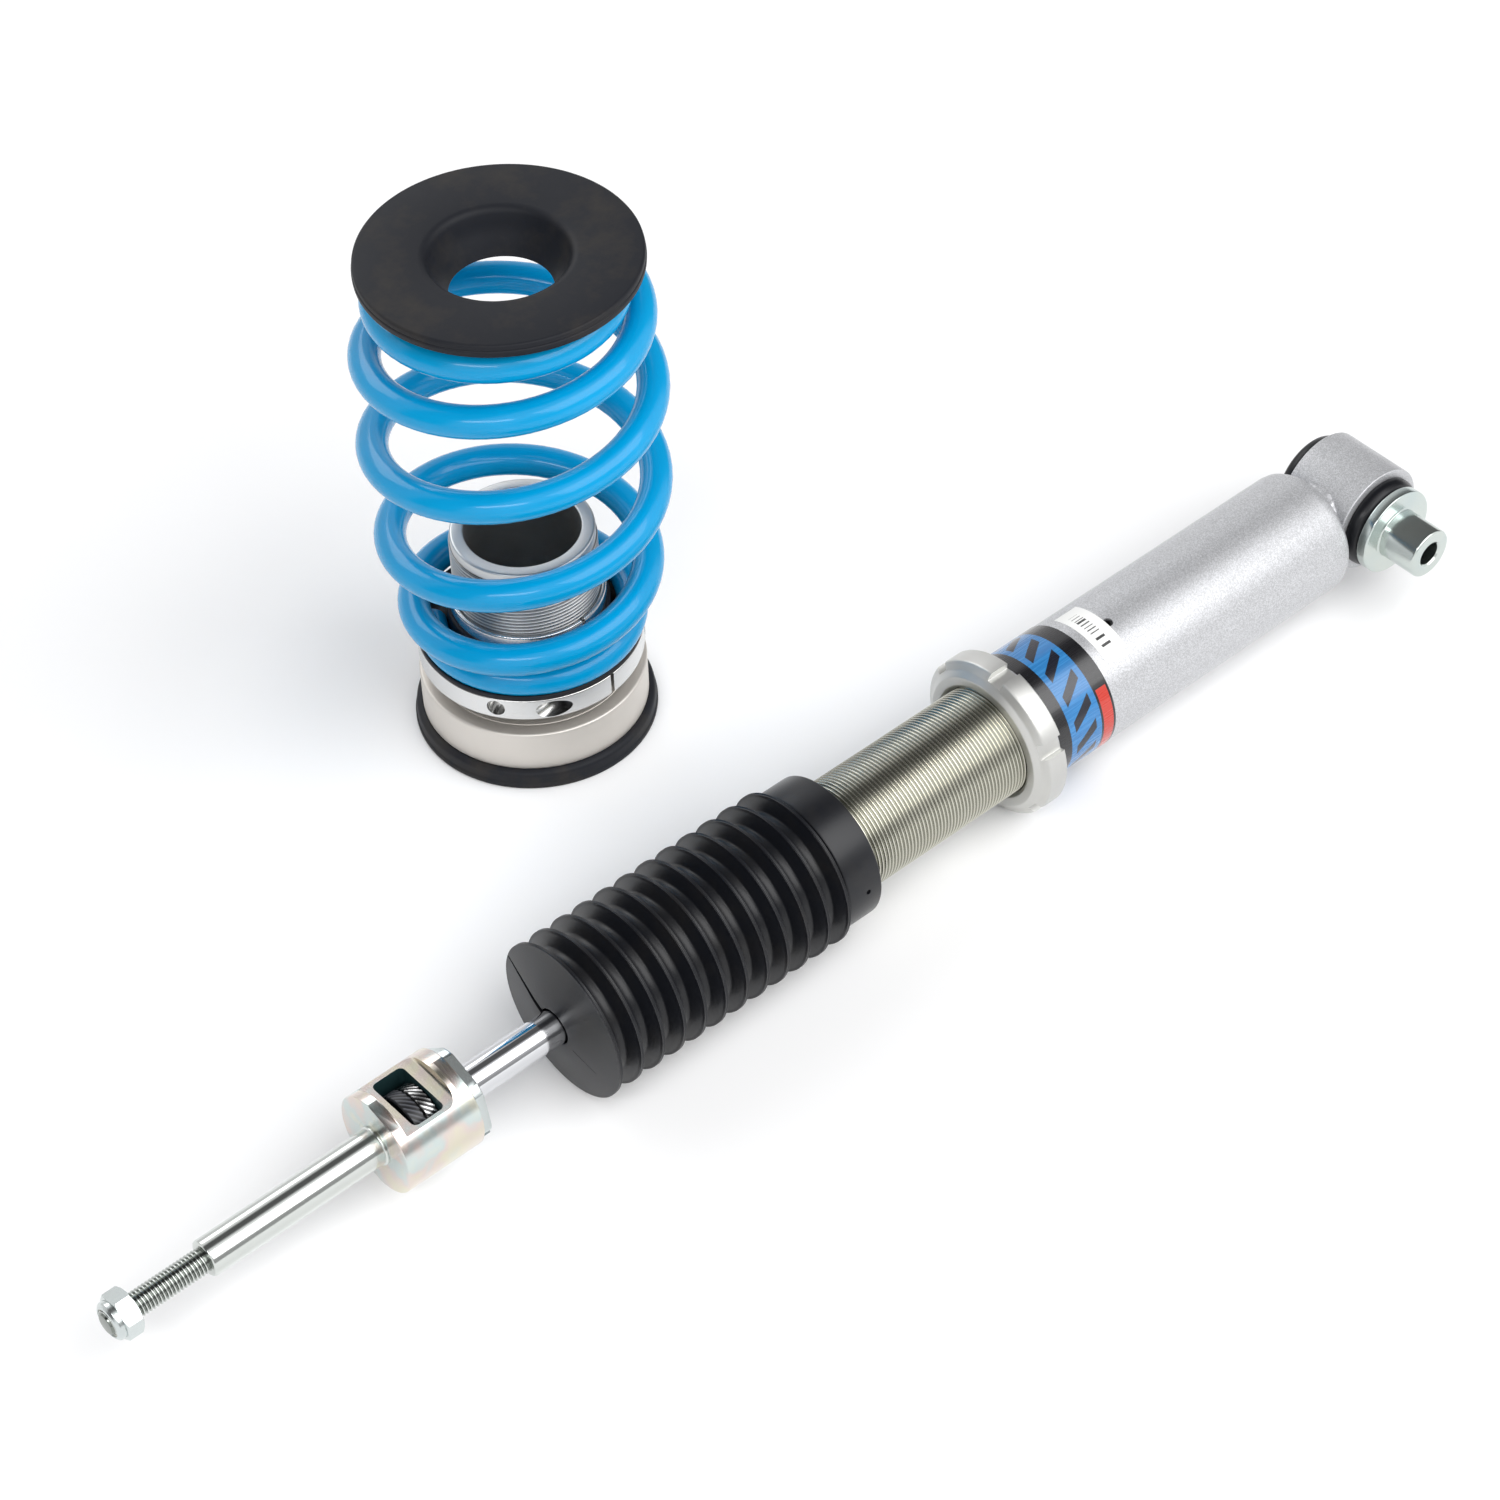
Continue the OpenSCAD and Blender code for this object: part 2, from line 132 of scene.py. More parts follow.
def lathe(name, points, place, body, node, material, steps=160, closed=True, sharp=38, cuts=(), keep=()):
    bm = latheMesh(points, steps, closed)
    for cutter in cuts:
        bm = booleanMesh(bm, cutter, "DIFFERENCE")
    for shape in keep:
        bm = booleanMesh(bm, shape, "INTERSECT")
    return finish(name, bm, place, body, node, material, sharp)


def booleanMesh(bm, other, how):
    holders = []
    for label, source in (("base", bm), ("tool", other)):
        mesh = bpy.data.meshes.new(label)
        source.to_mesh(mesh)
        source.free()
        holders.append(bpy.data.objects.new(label, mesh))
        bpy.context.scene.collection.objects.link(holders[-1])
    cut = holders[0].modifiers.new("cut", "BOOLEAN")
    cut.operation = how
    cut.object = holders[1]
    cut.solver = "EXACT"
    result = bmesh.new()
    result.from_object(holders[0], bpy.context.evaluated_depsgraph_get())
    for holder in holders:
        mesh = holder.data
        bpy.data.objects.remove(holder)
        bpy.data.meshes.remove(mesh)
    return result


def boxMesh(low, high, bevelWidth=0.0, edgesAlong=None):
    bm = bmesh.new()
    size = Vector(high) - Vector(low)
    middle = (Vector(high) + Vector(low)) / 2
    bmesh.ops.create_cube(bm, size=1, matrix=Matrix.Translation(middle * mm) @ Matrix.Diagonal((*(size * mm), 1)))
    if bevelWidth:
        chosen = [e for e in bm.edges if edgesAlong is None or
                  abs((e.verts[0].co - e.verts[1].co).normalized()[edgesAlong]) > 0.9]
        bmesh.ops.bevel(bm, geom=chosen, offset=bevelWidth * mm, affect="EDGES", segments=6, profile=0.5, material=-1)
    return bm


def rodMesh(radius, low, high, matrix=Matrix(), segments=48, endRadius=None):
    bm = bmesh.new()
    bmesh.ops.create_cone(bm, cap_ends=True, segments=segments, radius1=radius * mm,
                          radius2=(radius if endRadius is None else endRadius) * mm, depth=(high - low) * mm,
                          matrix=matrix @ Matrix.Translation((0, 0, (low + high) / 2 * mm)))
    return bm


def turnAbout(degrees):
    return Matrix.Rotation(radians(degrees), 4, "Z")


def threadMesh(crest, depth, pitch, low, high, inner, steps=96, flat=0.3):
    bm = bmesh.new()
    root = crest - depth
    shape = softened([(root, 0.0), (root, pitch * flat * 0.5, pitch * 0.12), (crest, pitch * 0.5 - pitch * flat * 0.4, pitch * 0.12),
                      (crest, pitch * 0.5 + pitch * flat * 0.4, pitch * 0.12), (root, pitch * (1 - flat * 0.5), pitch * 0.12), (root, pitch)], 2)
    verts = [bm.verts.new((r * mm, 0, (low - 2 * pitch + h) * mm)) for r, h in shape]
    edges = [bm.edges.new(pair) for pair in zip(verts, verts[1:])]
    bmesh.ops.spin(bm, geom=verts + edges, cent=(0, 0, 0), axis=(0, 0, 1), dvec=(0, 0, pitch * mm / steps),
                   angle=2 * pi, steps=steps, use_merge=False)
    oneTurn = bpy.data.meshes.new("turn")         # one turn, stacked a pitch at a time
    bm.to_mesh(oneTurn)
    for i in range(math.ceil((high - low) / pitch) + 3):
        oneTurn.transform(Matrix.Translation((0, 0, pitch * mm)))
        bm.from_mesh(oneTurn)
    bpy.data.meshes.remove(oneTurn)
    bmesh.ops.remove_doubles(bm, verts=bm.verts, dist=2e-6)
    for height, outer in ((low, False), (high, True)):
        bmesh.ops.bisect_plane(bm, geom=bm.verts[:] + bm.edges[:] + bm.faces[:], plane_co=(0, 0, height * mm),
                               plane_no=(0, 0, 1), clear_outer=outer, clear_inner=not outer)
    if inner:
        rings = []
        for height in (low, high):
            rim = [e for e in bm.edges if e.is_boundary and all(abs(v.co.z - height * mm) < 1e-6 for v in e.verts)]
            made = bmesh.ops.extrude_edge_only(bm, edges=rim)["geom"]
            for v in [g for g in made if isinstance(g, bmesh.types.BMVert)]:
                v.co.xy = v.co.xy.normalized() * inner * mm
            rings += [g for g in made if isinstance(g, bmesh.types.BMEdge)]
        bmesh.ops.bridge_loops(bm, edges=rings)
    else:
        for height in (low, high):
            rim = [e for e in bm.edges if e.is_boundary and all(abs(v.co.z - height * mm) < 1e-6 for v in e.verts)]
            bmesh.ops.holes_fill(bm, edges=rim, sides=0)
    return bm


def joined(*meshes):
    whole = bmesh.new()
    for part in meshes:
        mesh = bpy.data.meshes.new("part")
        part.to_mesh(mesh)
        part.free()
        whole.from_mesh(mesh)
        bpy.data.meshes.remove(mesh)
    return whole


class Look:
    def __init__(self, name, colour, metallic=0.0, roughness=0.5, coat=0.0, coatRoughness=0.05):
        self.material = bpy.data.materials.new(name)
        self.material.use_nodes = True
        self.tree = self.material.node_tree
        self.shader = self.tree.nodes["Principled BSDF"]
        self.shader.inputs["Base Color"].default_value = (*colour, 1)
        self.shader.inputs["Metallic"].default_value = metallic
        self.shader.inputs["Roughness"].default_value = roughness
        self.shader.inputs["Coat Weight"].default_value = coat
        self.shader.inputs["Coat Roughness"].default_value = coatRoughness
        self.colour = colour
        self.coords = self.add("TexCoord").outputs["Object"]
        self.normal = None

    def add(self, kind, **values):
        node = self.tree.nodes.new("ShaderNode" + kind)
        for key, value in values.items():
            if hasattr(node, key):
                setattr(node, key, value)
            else:
                node.inputs[key].default_value = value
        return node

    def link(self, output, socket):
        self.tree.links.new(output, socket)

    def mapped(self, scale=(1, 1, 1), location=(0, 0, 0), turn=(0, 0, 0)):
        mapping = self.add("Mapping")
        mapping.inputs["Scale"].default_value = scale
        mapping.inputs["Location"].default_value = location
        mapping.inputs["Rotation"].default_value = turn
        self.link(self.coords, mapping.inputs["Vector"])
        return mapping.outputs["Vector"]

    def math(self, operation, first, second=None):
        node = self.add("Math", operation=operation)
        for slot, value in enumerate((first, second)):
            if value is None:
                continue
            if isinstance(value, (int, float)):
                node.inputs[slot].default_value = value
            else:
                self.link(value, node.inputs[slot])
        return node.outputs[0]

    def noise(self, vector, scale, detail=3.0, roughness=0.5):
        node = self.add("TexNoise")
        node.inputs["Scale"].default_value = scale
        node.inputs["Detail"].default_value = detail
        node.inputs["Roughness"].default_value = roughness
        self.link(vector, node.inputs["Vector"])
        return node.outputs["Fac"]

    def ramp(self, factor, stops, constant=False):
        node = self.add("ValToRGB")
        if constant:
            node.color_ramp.interpolation = "CONSTANT"
        while len(node.color_ramp.elements) < len(stops):
            node.color_ramp.elements.new(0.5)
        for element, (place, colour) in zip(node.color_ramp.elements, stops):
            element.position = place
            element.color = (*colour, 1) if len(colour) == 3 else colour
        self.link(factor, node.inputs["Fac"])
        return node.outputs["Color"]

    def mix(self, factor, first, second, blend="MIX"):
        node = self.add("Mix", data_type="RGBA", blend_type=blend)
        for slot, value in ((0, factor), (6, first), (7, second)):
            if isinstance(value, (int, float)):
                node.inputs[slot].default_value = value
            elif isinstance(value, tuple):
                node.inputs[slot].default_value = (*value, 1)
            else:
                self.link(value, node.inputs[slot])
        return node.outputs[2]

    def range(self, factor, low, high):
        node = self.add("MapRange")
        node.inputs["To Min"].default_value = low
        node.inputs["To Max"].default_value = high
        self.link(factor, node.inputs["Value"])
        return node.outputs["Result"]

    def roughen(self, factor, low, high):
        self.link(self.range(factor, low, high), self.shader.inputs["Roughness"])

    def paint(self, colour):
        self.link(colour, self.shader.inputs["Base Color"])

    def bump(self, height, strength=0.3, distance=0.0001):
        node = self.add("Bump")
        node.inputs["Strength"].default_value = strength
        node.inputs["Distance"].default_value = distance
        self.link(height, node.inputs["Height"])
        if self.normal:
            self.link(self.normal, node.inputs["Normal"])
        self.normal = node.outputs["Normal"]
        self.link(self.normal, self.shader.inputs["Normal"])

    def ringCoords(self, along, centre=(0, 0, 0)):
        moved = self.mapped(location=tuple(-c * mm for c in centre))
        split = self.add("SeparateXYZ")
        self.link(moved, split.inputs[0])
        sides = [split.outputs[i] for i in range(3) if i != along]
        squares = [self.math("MULTIPLY", s, s) for s in sides]
        radius = self.math("SQRT", self.math("ADD", *squares))
        around = self.math("ARCTAN2", sides[1], sides[0])
        joinedUp = self.add("CombineXYZ")
        self.link(split.outputs[along], joinedUp.inputs[0])
        self.link(radius, joinedUp.inputs[1])
        return joinedUp.outputs[0], split.outputs[along], radius, around


def tinted(colour, amount):
    return tuple(max(0.0, min(1.0, c * amount)) for c in colour)


def turnedMetal(name, colour, roughness, along, centre=(0, 0, 0), marks=0.25, tintTo=None, patchy=0.5, paintedRootShade=None):
    look = Look(name, colour, 1.0, roughness)
    rings, _, radius, _ = look.ringCoords(along, centre)
    fine = look.noise(rings, 2600, 2.0)
    cloud = look.noise(look.mapped(), 55, 4.0)
    warm = tintTo or tinted(colour, 0.86)
    shade = look.mix(look.math("MULTIPLY", cloud, patchy), colour, warm)
    if paintedRootShade:                                    # painted shade in the thread roots: crest radius, depth, and the dark colour painted at the root
        depth = look.math("DIVIDE", look.math("SUBTRACT", paintedRootShade[0] * mm, radius), paintedRootShade[1] * mm)
        shade = look.mix(look.ramp(depth, [(0.12, (0, 0, 0)), (0.6, (1, 1, 1))]), shade, paintedRootShade[2])
    look.paint(shade)
    look.roughen(look.math("ADD", look.math("MULTIPLY", fine, 0.6), look.math("MULTIPLY", cloud, 0.4)),
                 roughness * 0.7, roughness * 1.35)
    look.bump(fine, marks, 0.00006)
    return look.material


def blackRubber(name, base, roughness, scuffs, shine):
    look = Look(name, (base * 0.9, base, base * 1.35), 0.0, roughness)
    look.shader.inputs["Specular IOR Level"].default_value = shine
    grain = look.noise(look.mapped(), 2200, 3.0)
    cloud = look.noise(look.mapped(), 42, 5.0, 0.65)
    worn = look.ramp(cloud, [(0.48, (0, 0, 0)), (0.72, (1, 1, 1))])
    look.paint(look.mix(look.math("MULTIPLY", worn, scuffs), (base * 0.9, base, base * 1.35),
                        (base * 3.4, base * 2.9, base * 2.3)))
    look.roughen(cloud, roughness * 0.85, min(1, roughness * 1.2))
    look.bump(grain, 0.25, 0.00008)
    return look.material


print("materials")
colours = {
    "silver": (0.52, 0.525, 0.54), "zinc": (0.64, 0.67, 0.65), "aluminium": (0.64, 0.64, 0.62),
    "blue": (0.0, 0.30, 0.60), "blasted": (0.68, 0.645, 0.60), "chrome": (0.70, 0.71, 0.73),
}

# silver paint with fine flakes
look = Look("silverPaint", colours["silver"], 0.6, 0.46, 0.2, 0.3)
flakes = look.add("TexVoronoi")
flakes.inputs["Scale"].default_value = 2600
look.link(look.mapped(), flakes.inputs["Vector"])
sparkle = look.ramp(flakes.outputs["Color"], [(0.25, tinted(colours["silver"], 0.8)), (0.8, tinted(colours["silver"], 1.3))])
look.paint(look.mix(0.8, colours["silver"], sparkle))
look.roughen(look.noise(look.mapped(), 900, 2.0), 0.4, 0.54)
look.bump(look.noise(look.mapped(), 1500, 2.0), 0.22, 0.00008)
silverPaint = look.material

# blue powder coat
look = Look("bluePowder", colours["blue"], 0.0, 0.18, 0.3, 0.04)
look.shader.inputs["Specular IOR Level"].default_value = 0.2
cloud = look.noise(look.mapped(), 30, 3.0)
look.paint(look.mix(cloud, tinted(colours["blue"], 0.93), tinted(colours["blue"], 1.08)))
look.roughen(look.noise(look.mapped(), 300, 3.0), 0.16, 0.28)
look.bump(look.noise(look.mapped(), 420, 2.0), 0.08, 0.00008)
bluePowder = look.material

unitCentre = (unitX, unitY, 0)
zincTurned = turnedMetal("clearZinc", colours["zinc"], 0.24, 0, tintTo=(0.54, 0.60, 0.61), patchy=0.9)
zincSleeve = turnedMetal("eyeSleeveZinc", (0.66, 0.68, 0.62), 0.2, 1, tintTo=(0.48, 0.58, 0.60), patchy=0.9)
# threadSteel, sleeveAluminium and studSteel get painted shade in their thread roots
threadSteel = turnedMetal("threadSteel", (0.66, 0.65, 0.58), 0.24, 0, marks=0.05, tintTo=(0.52, 0.50, 0.40),
                          paintedRootShade=(27.4, 0.85, (0.27, 0.27, 0.22)))
ringAluminium = turnedMetal("ringAluminium", colours["aluminium"], 0.42, 0, marks=0.3)
perchAluminium = turnedMetal("perchAluminium", (0.72, 0.72, 0.71), 0.24, 2, unitCentre, marks=0.25)
bandAluminium = turnedMetal("bandAluminium", (0.62, 0.62, 0.61), 0.36, 2, unitCentre, marks=0.2)
sleeveAluminium = turnedMetal("sleeveAluminium", (0.60, 0.60, 0.59), 0.36, 2, unitCentre, marks=0.15,
                              paintedRootShade=(34.4, 0.8, (0.22, 0.22, 0.22)))
groundChrome = turnedMetal("groundChrome", colours["chrome"], 0.09, 0, marks=0.03, patchy=0.15)
brightSteel = turnedMetal("brightSteel", (0.66, 0.68, 0.69), 0.15, 0, marks=0.1, tintTo=(0.55, 0.60, 0.60))
studSteel = turnedMetal("studSteel", (0.66, 0.68, 0.66), 0.15, 0, marks=0.08, tintTo=(0.56, 0.60, 0.57),
                        paintedRootShade=(5.9, 0.95, (0.22, 0.24, 0.22)))
# knurlSteel: painted shade, near black, in the knurl valleys
knurlSteel = turnedMetal("knurlSteel", (0.74, 0.74, 0.74), 0.25, 0, paintedRootShade=(14.9, 0.75, (0.05, 0.05, 0.05)))
darkSteel = turnedMetal("darkSteel", (0.09, 0.09, 0.095), 0.42, 0)
sinteredSteel = turnedMetal("sinteredSteel", (0.30, 0.30, 0.30), 0.5, 0)
padRubber = blackRubber("padRubber", 0.012, 0.5, 0.5, 0.2)
bootRubber = blackRubber("bootRubber", 0.008, 0.32, 0.3, 0.38)
bushRubber = blackRubber("bushRubber", 0.006, 0.28, 0.05, 0.3)

# blasted cup
look = Look("blastedSteel", colours["blasted"], 0.85, 0.5)
grain = look.noise(look.mapped(), 2400, 3.0)
cloud = look.noise(look.mapped(), 25, 4.0)
look.paint(look.mix(cloud, tinted(colours["blasted"], 0.94), tinted(colours["blasted"], 1.08)))
look.roughen(grain, 0.44, 0.6)
look.bump(grain, 0.5, 0.00012)
blastedSteel = look.material

# iridescent zinc of the housing
look = Look("rainbowZinc", (0.70, 0.68, 0.60), 1.0, 0.26)
rings, _, _, _ = look.ringCoords(0)
swirl = look.noise(look.mapped((1, 1, 1)), 38, 3.0, 0.6)
film = look.ramp(swirl, [(0.30, (0.68, 0.70, 0.62)), (0.42, (0.76, 0.70, 0.52)), (0.52, (0.74, 0.60, 0.58)),
                         (0.60, (0.55, 0.68, 0.70)), (0.72, (0.74, 0.73, 0.60))])
look.paint(look.mix(0.62, (0.70, 0.69, 0.62), film))
look.roughen(look.noise(rings, 1800, 2.0), 0.17, 0.32)
look.bump(look.noise(rings, 2200, 2.0), 0.2, 0.00005)
rainbowZinc = look.material

# printed band: black, blue, black, with slanted bars and a red block
band = dict(low=190.0, high=225.0, blueFrom=198.7, blueTo=217.8, redFrom=191.2, redTo=197.4)
look = Look("labelFilm", (0.1, 0.3, 0.6), 0.0, 0.3, 0.4, 0.1)
rings, along, radius, around = look.ringCoords(0)
share = look.math("DIVIDE", look.math("SUBTRACT", along, band["low"] * mm), (band["high"] - band["low"]) * mm)
width = band["high"] - band["low"]
cuts = [(band[k] - band["low"]) / width for k in ("redFrom", "redTo", "blueFrom", "blueTo")]
sheen = look.noise(look.mapped((40, 900, 900)), 1.0, 2.0)
blues = look.mix(sheen, (0.012, 0.11, 0.32), (0.04, 0.26, 0.58))
inBlue = look.ramp(share, [(0, (0, 0, 0)), (cuts[2], (1, 1, 1)), (cuts[3], (0, 0, 0))], True)
inRed = look.ramp(share, [(0, (0, 0, 0)), (cuts[0], (1, 1, 1)), (cuts[1], (0, 0, 0))], True)
slant = look.math("ADD", look.math("MULTIPLY", around, 31.5 * mm), look.math("MULTIPLY", along, 0.7))
stripes = look.math("FRACT", look.math("DIVIDE", slant, 0.0132))
inBar = look.math("LESS_THAN", stripes, 0.42)
redSide = look.math("LESS_THAN", look.math("ABSOLUTE", look.math("SUBTRACT", around, -0.05)), 0.72)
middle = look.ramp(share, [(0, (0, 0, 0)), (0.34, (1, 1, 1)), (0.70, (0, 0, 0))], True)
bars = look.math("MULTIPLY", inBar, middle)
ink = look.mix(inBlue, (0.006, 0.006, 0.008), blues)
ink = look.mix(bars, ink, (0.008, 0.01, 0.02))
ink = look.mix(look.math("MULTIPLY", inRed, redSide), ink, (0.52, 0.035, 0.02))
look.paint(ink)
look.roughen(sheen, 0.2, 0.34)
labelFilm = look.material

# small white label with plain bars
tag = dict(low=172.0, high=186.0, pitch=0.0021)
look = Look("labelPaper", (0.85, 0.85, 0.83), 0.0, 0.42, 0.2, 0.2)
rings, along, radius, around = look.ringCoords(0)
share = look.math("DIVIDE", look.math("SUBTRACT", along, tag["low"] * mm), (tag["high"] - tag["low"]) * mm)
inRow = look.ramp(share, [(0, (0, 0, 0)), (0.3, (1, 1, 1)), (0.68, (0, 0, 0))], True)
step = look.math("DIVIDE", look.math("MULTIPLY", around, 31.7 * mm), tag["pitch"])
barWidth = look.add("TexWhiteNoise", noise_dimensions="1D")
look.link(look.math("FLOOR", step), barWidth.inputs["W"])
isBar = look.math("LESS_THAN", look.math("FRACT", step), look.math("MULTIPLY", barWidth.outputs["Value"], 0.8))
nearTop = look.math("LESS_THAN", look.math("ABSOLUTE", look.math("SUBTRACT", around, 1.48)), 0.38)
look.paint(look.mix(look.math("MULTIPLY", look.math("MULTIPLY", inRow, isBar), nearTop),
                    (0.86, 0.86, 0.84), (0.05, 0.05, 0.05)))
look.roughen(look.noise(look.mapped(), 700, 2.0), 0.36, 0.5)
labelPaper = look.material

# plastics
look = Look("blackKnob", (0.012, 0.012, 0.013), 0.0, 0.38)
_, _, radius, _ = look.ringCoords(0)              # painted highlight on the knurl crests, lighter than the black
look.paint(look.mix(look.ramp(look.math("DIVIDE", radius, 15.3 * mm), [(0.965, (0, 0, 0)), (1.0, (1, 1, 1))]),
                    (0.006, 0.006, 0.008), (0.10, 0.105, 0.12)))
look.roughen(look.noise(look.mapped(), 1500, 2.0), 0.3, 0.5)
look.bump(look.noise(look.mapped(), 3000, 2.0), 0.2, 0.00005)
blackKnob = look.material
look = Look("nylon", (0.78, 0.77, 0.70), 0.0, 0.4)
look.roughen(look.noise(look.mapped(), 800, 2.0), 0.32, 0.5)
nylon = look.material
look = Look("bumpFoam", (0.72, 0.55, 0.2), 0.0, 0.8)
look.bump(look.noise(look.mapped(), 900, 4.0), 0.5, 0.0003)
bumpFoam = look.material
look = Look("bandPolymer", (0.12, 0.06, 0.03), 0.0, 0.5)
look.roughen(look.noise(look.mapped(), 900, 2.0), 0.42, 0.58)
bandPolymer = look.material
# near-black material that paints the shade on the walls inside the housing's window
look = Look("paintedWindowShade", (0.02, 0.055, 0.06), 0.4, 0.4)
look.roughen(look.noise(look.mapped(), 900, 2.0), 0.3, 0.5)
paintedWindowShade = look.material

print("lower mount")
body = dict(radius=31.5, start=29.0, mouth=lowHigh("lower_body", 0)[1], bore=27.7, floor=41.0, corner=7.5,
            holeX=170.0, holeAngle=9.0, holeRadius=2.5, mouthCut=0.5)
holeTurn = Matrix.Rotation(radians(90 - body["holeAngle"]), 4, "Z") @ Matrix.Rotation(radians(90), 4, "Y")
grubHole = rodMesh(body["holeRadius"], 20, 40, Matrix.Translation((0, 0, body["holeX"] * mm)) @ holeTurn)
lathe("lowerBody", [(0, body["start"]), (body["radius"], body["start"], body["corner"]),
                    (body["radius"], body["mouth"], body["mouthCut"]), (body["bore"], body["mouth"], 0.3),
                    (body["bore"], body["floor"]), (0, body["floor"])],
      alongDamper, "mount", "lower_body", silverPaint, 192, False, cuts=[grubHole])

eye = dict(radius=27.1, half=19.0, bore=22.0, neck=15.6, neckEnd=30.0, weldRadius=17.0, weldThick=2.6)
lathe("eyeBarrel", [(eye["bore"], -eye["half"], 0.4), (eye["radius"], -eye["half"], 0.7),
                    (eye["radius"], eye["half"], 0.7), (eye["bore"], eye["half"], 0.4)],
      alongEye, "mount", "lower_eye", silverPaint, 144)
lathe("eyeNeck", [(0, 23), (eye["neck"] + 1.6, 23), (eye["neck"], 27.4, 1.2), (eye["neck"], eye["neckEnd"]), (0, eye["neckEnd"])],
      alongDamper, "mount", None, silverPaint, 96, False)

weld = bmesh.new()                                # the bead climbs the barrel's sides
beadSteps, beadSides = 160, 10
ring = bmesh.ops.create_circle(weld, segments=beadSides, radius=eye["weldThick"] * mm)["verts"]
bmesh.ops.rotate(weld, verts=ring, cent=(0, 0, 0), matrix=Matrix.Rotation(radians(90), 3, "X"))
bmesh.ops.translate(weld, verts=ring, vec=(eye["weldRadius"] * mm, 0, 0))
bmesh.ops.spin(weld, geom=weld.verts[:] + weld.edges[:], cent=(0, 0, 0), axis=(0, 0, 1), dvec=(0, 0, 0),
               angle=2 * pi, steps=beadSteps, use_merge=True)
for v in weld.verts:
    turn = math.atan2(v.co.y, v.co.x)
    ripple = 1 + 0.05 * sin(turn * 30) + 0.03 * sin(turn * 47 + 1)
    outward = Vector((cos(turn), sin(turn), 0)) * eye["weldRadius"] * mm
    v.co = outward + (v.co - outward) * ripple
    side = v.co.x                                 # local x is along the eye's own axis
    reach = eye["radius"] ** 2 - (v.co.y / mm) ** 2
    v.co.z += (math.sqrt(max(reach, 0)) + 0.6) * mm
finish("eyeWeld", weld, alongDamper, "mount", None, silverPaint, 60)
weldTwo = bmesh.new()
ring = bmesh.ops.create_circle(weldTwo, segments=10, radius=2.0 * mm)["verts"]
bmesh.ops.rotate(weldTwo, verts=ring, cent=(0, 0, 0), matrix=Matrix.Rotation(radians(90), 3, "X"))
bmesh.ops.translate(weldTwo, verts=ring, vec=((eye["neck"] + 0.8) * mm, 0, 29.0 * mm))
bmesh.ops.spin(weldTwo, geom=weldTwo.verts[:] + weldTwo.edges[:], cent=(0, 0, 0), axis=(0, 0, 1), dvec=(0, 0, 0),
               angle=2 * pi, steps=beadSteps, use_merge=True)
for v in weldTwo.verts:
    turn = math.atan2(v.co.y, v.co.x)
    v.co.z += 0.12 * mm * sin(turn * 34)
finish("bodyWeld", weldTwo, alongDamper, "mount", None, silverPaint, 60)

bush = dict(inner=12.75, lip=23.5, half=26.3, waist=21.9, barrel=19.05)
lathe("bushRubber", [(bush["inner"], -bush["half"]), (bush["lip"] - 2.4, -bush["half"], 2.0), (bush["lip"], -22.6, 2.6),
                     (bush["lip"] - 0.4, -bush["barrel"], 0.6), (bush["waist"], -bush["barrel"]),
                     (bush["waist"], bush["barrel"]), (bush["lip"] - 0.4, bush["barrel"], 0.6),
                     (bush["lip"], 22.6, 2.6), (bush["lip"] - 2.4, bush["half"], 2.0), (bush["inner"], bush["half"])],
      alongEye, "mount", "bush_rubber", bushRubber, 144)

sleeve = dict(bore=6.1, radius=12.7, flange=22.2, reach=53.5, start=-26.8)
lathe("bushSleeve", [(sleeve["bore"], sleeve["start"], 0.3), (sleeve["radius"], sleeve["start"], 0.5), (sleeve["radius"], 26.5),
                     (sleeve["flange"], 26.5, 0.8), (sleeve["flange"], 32.0, 0.8), (sleeve["radius"] + 0.6, 32.0, 0.5),
                     (sleeve["radius"], 32.6, 0.4), (sleeve["radius"], sleeve["reach"], 1.3),
                     (sleeve["bore"] + 0.7, sleeve["reach"]), (sleeve["bore"], sleeve["reach"] - 0.8)],
      alongEye, "sleeve", "bush_sleeve", zincSleeve, 144)

print("lock ring and tube")
lock = dict(radius=40.2, low=lowHigh("lock_ring", 0)[0], width=10.4, bore=27.65, slots=6, slotWidth=8.0, slotDepth=3.5, firstSlot=5.5)
low, high = lock["low"], lock["low"] + lock["width"]
slots = [boxMesh((lock["radius"] - lock["slotDepth"], -lock["slotWidth"] / 2, low - 2),
                 (lock["radius"] + 4, lock["slotWidth"] / 2, high + 2), 0.35, 2) for i in range(lock["slots"])]
for i, cutter in enumerate(slots):
    bmesh.ops.transform(cutter, matrix=turnAbout(90 - lock["firstSlot"] - i * 360 / lock["slots"]), verts=cutter.verts)
lathe("lockRing", [(lock["bore"], low, 0.3), (lock["radius"], low, 0.9), (lock["radius"], high, 0.9),
                   (36.2, high + 2.2, 0.8), (33.6, high + 4.6, 0.5), (29.4, high + 4.6, 0.4), (lock["bore"], high + 2.8, 0.4)],
      alongDamper, "lock", "lock_ring", ringAluminium, 192, cuts=slots)

tube = dict(crest=27.4, depth=0.85, pitch=2.0, bore=23.05, low=232.0, high=354.0)
start, end = lowHigh("damper_tube", 0)
thread = threadMesh(tube["crest"], tube["depth"], tube["pitch"], tube["low"], tube["high"], tube["bore"], 96)
plainLow = latheMesh([(tube["bore"], start), (tube["crest"], start), (tube["crest"], tube["low"] + 0.1), (tube["bore"], tube["low"] + 0.1)], 128)
plainHigh = latheMesh([(tube["bore"], tube["high"] - 0.1), (tube["crest"], tube["high"] - 0.1), (tube["crest"], end), (tube["bore"], end)], 128)
finish("damperTube", joined(thread, plainLow, plainHigh), alongDamper, "tube", "damper_tube", threadSteel, 50)

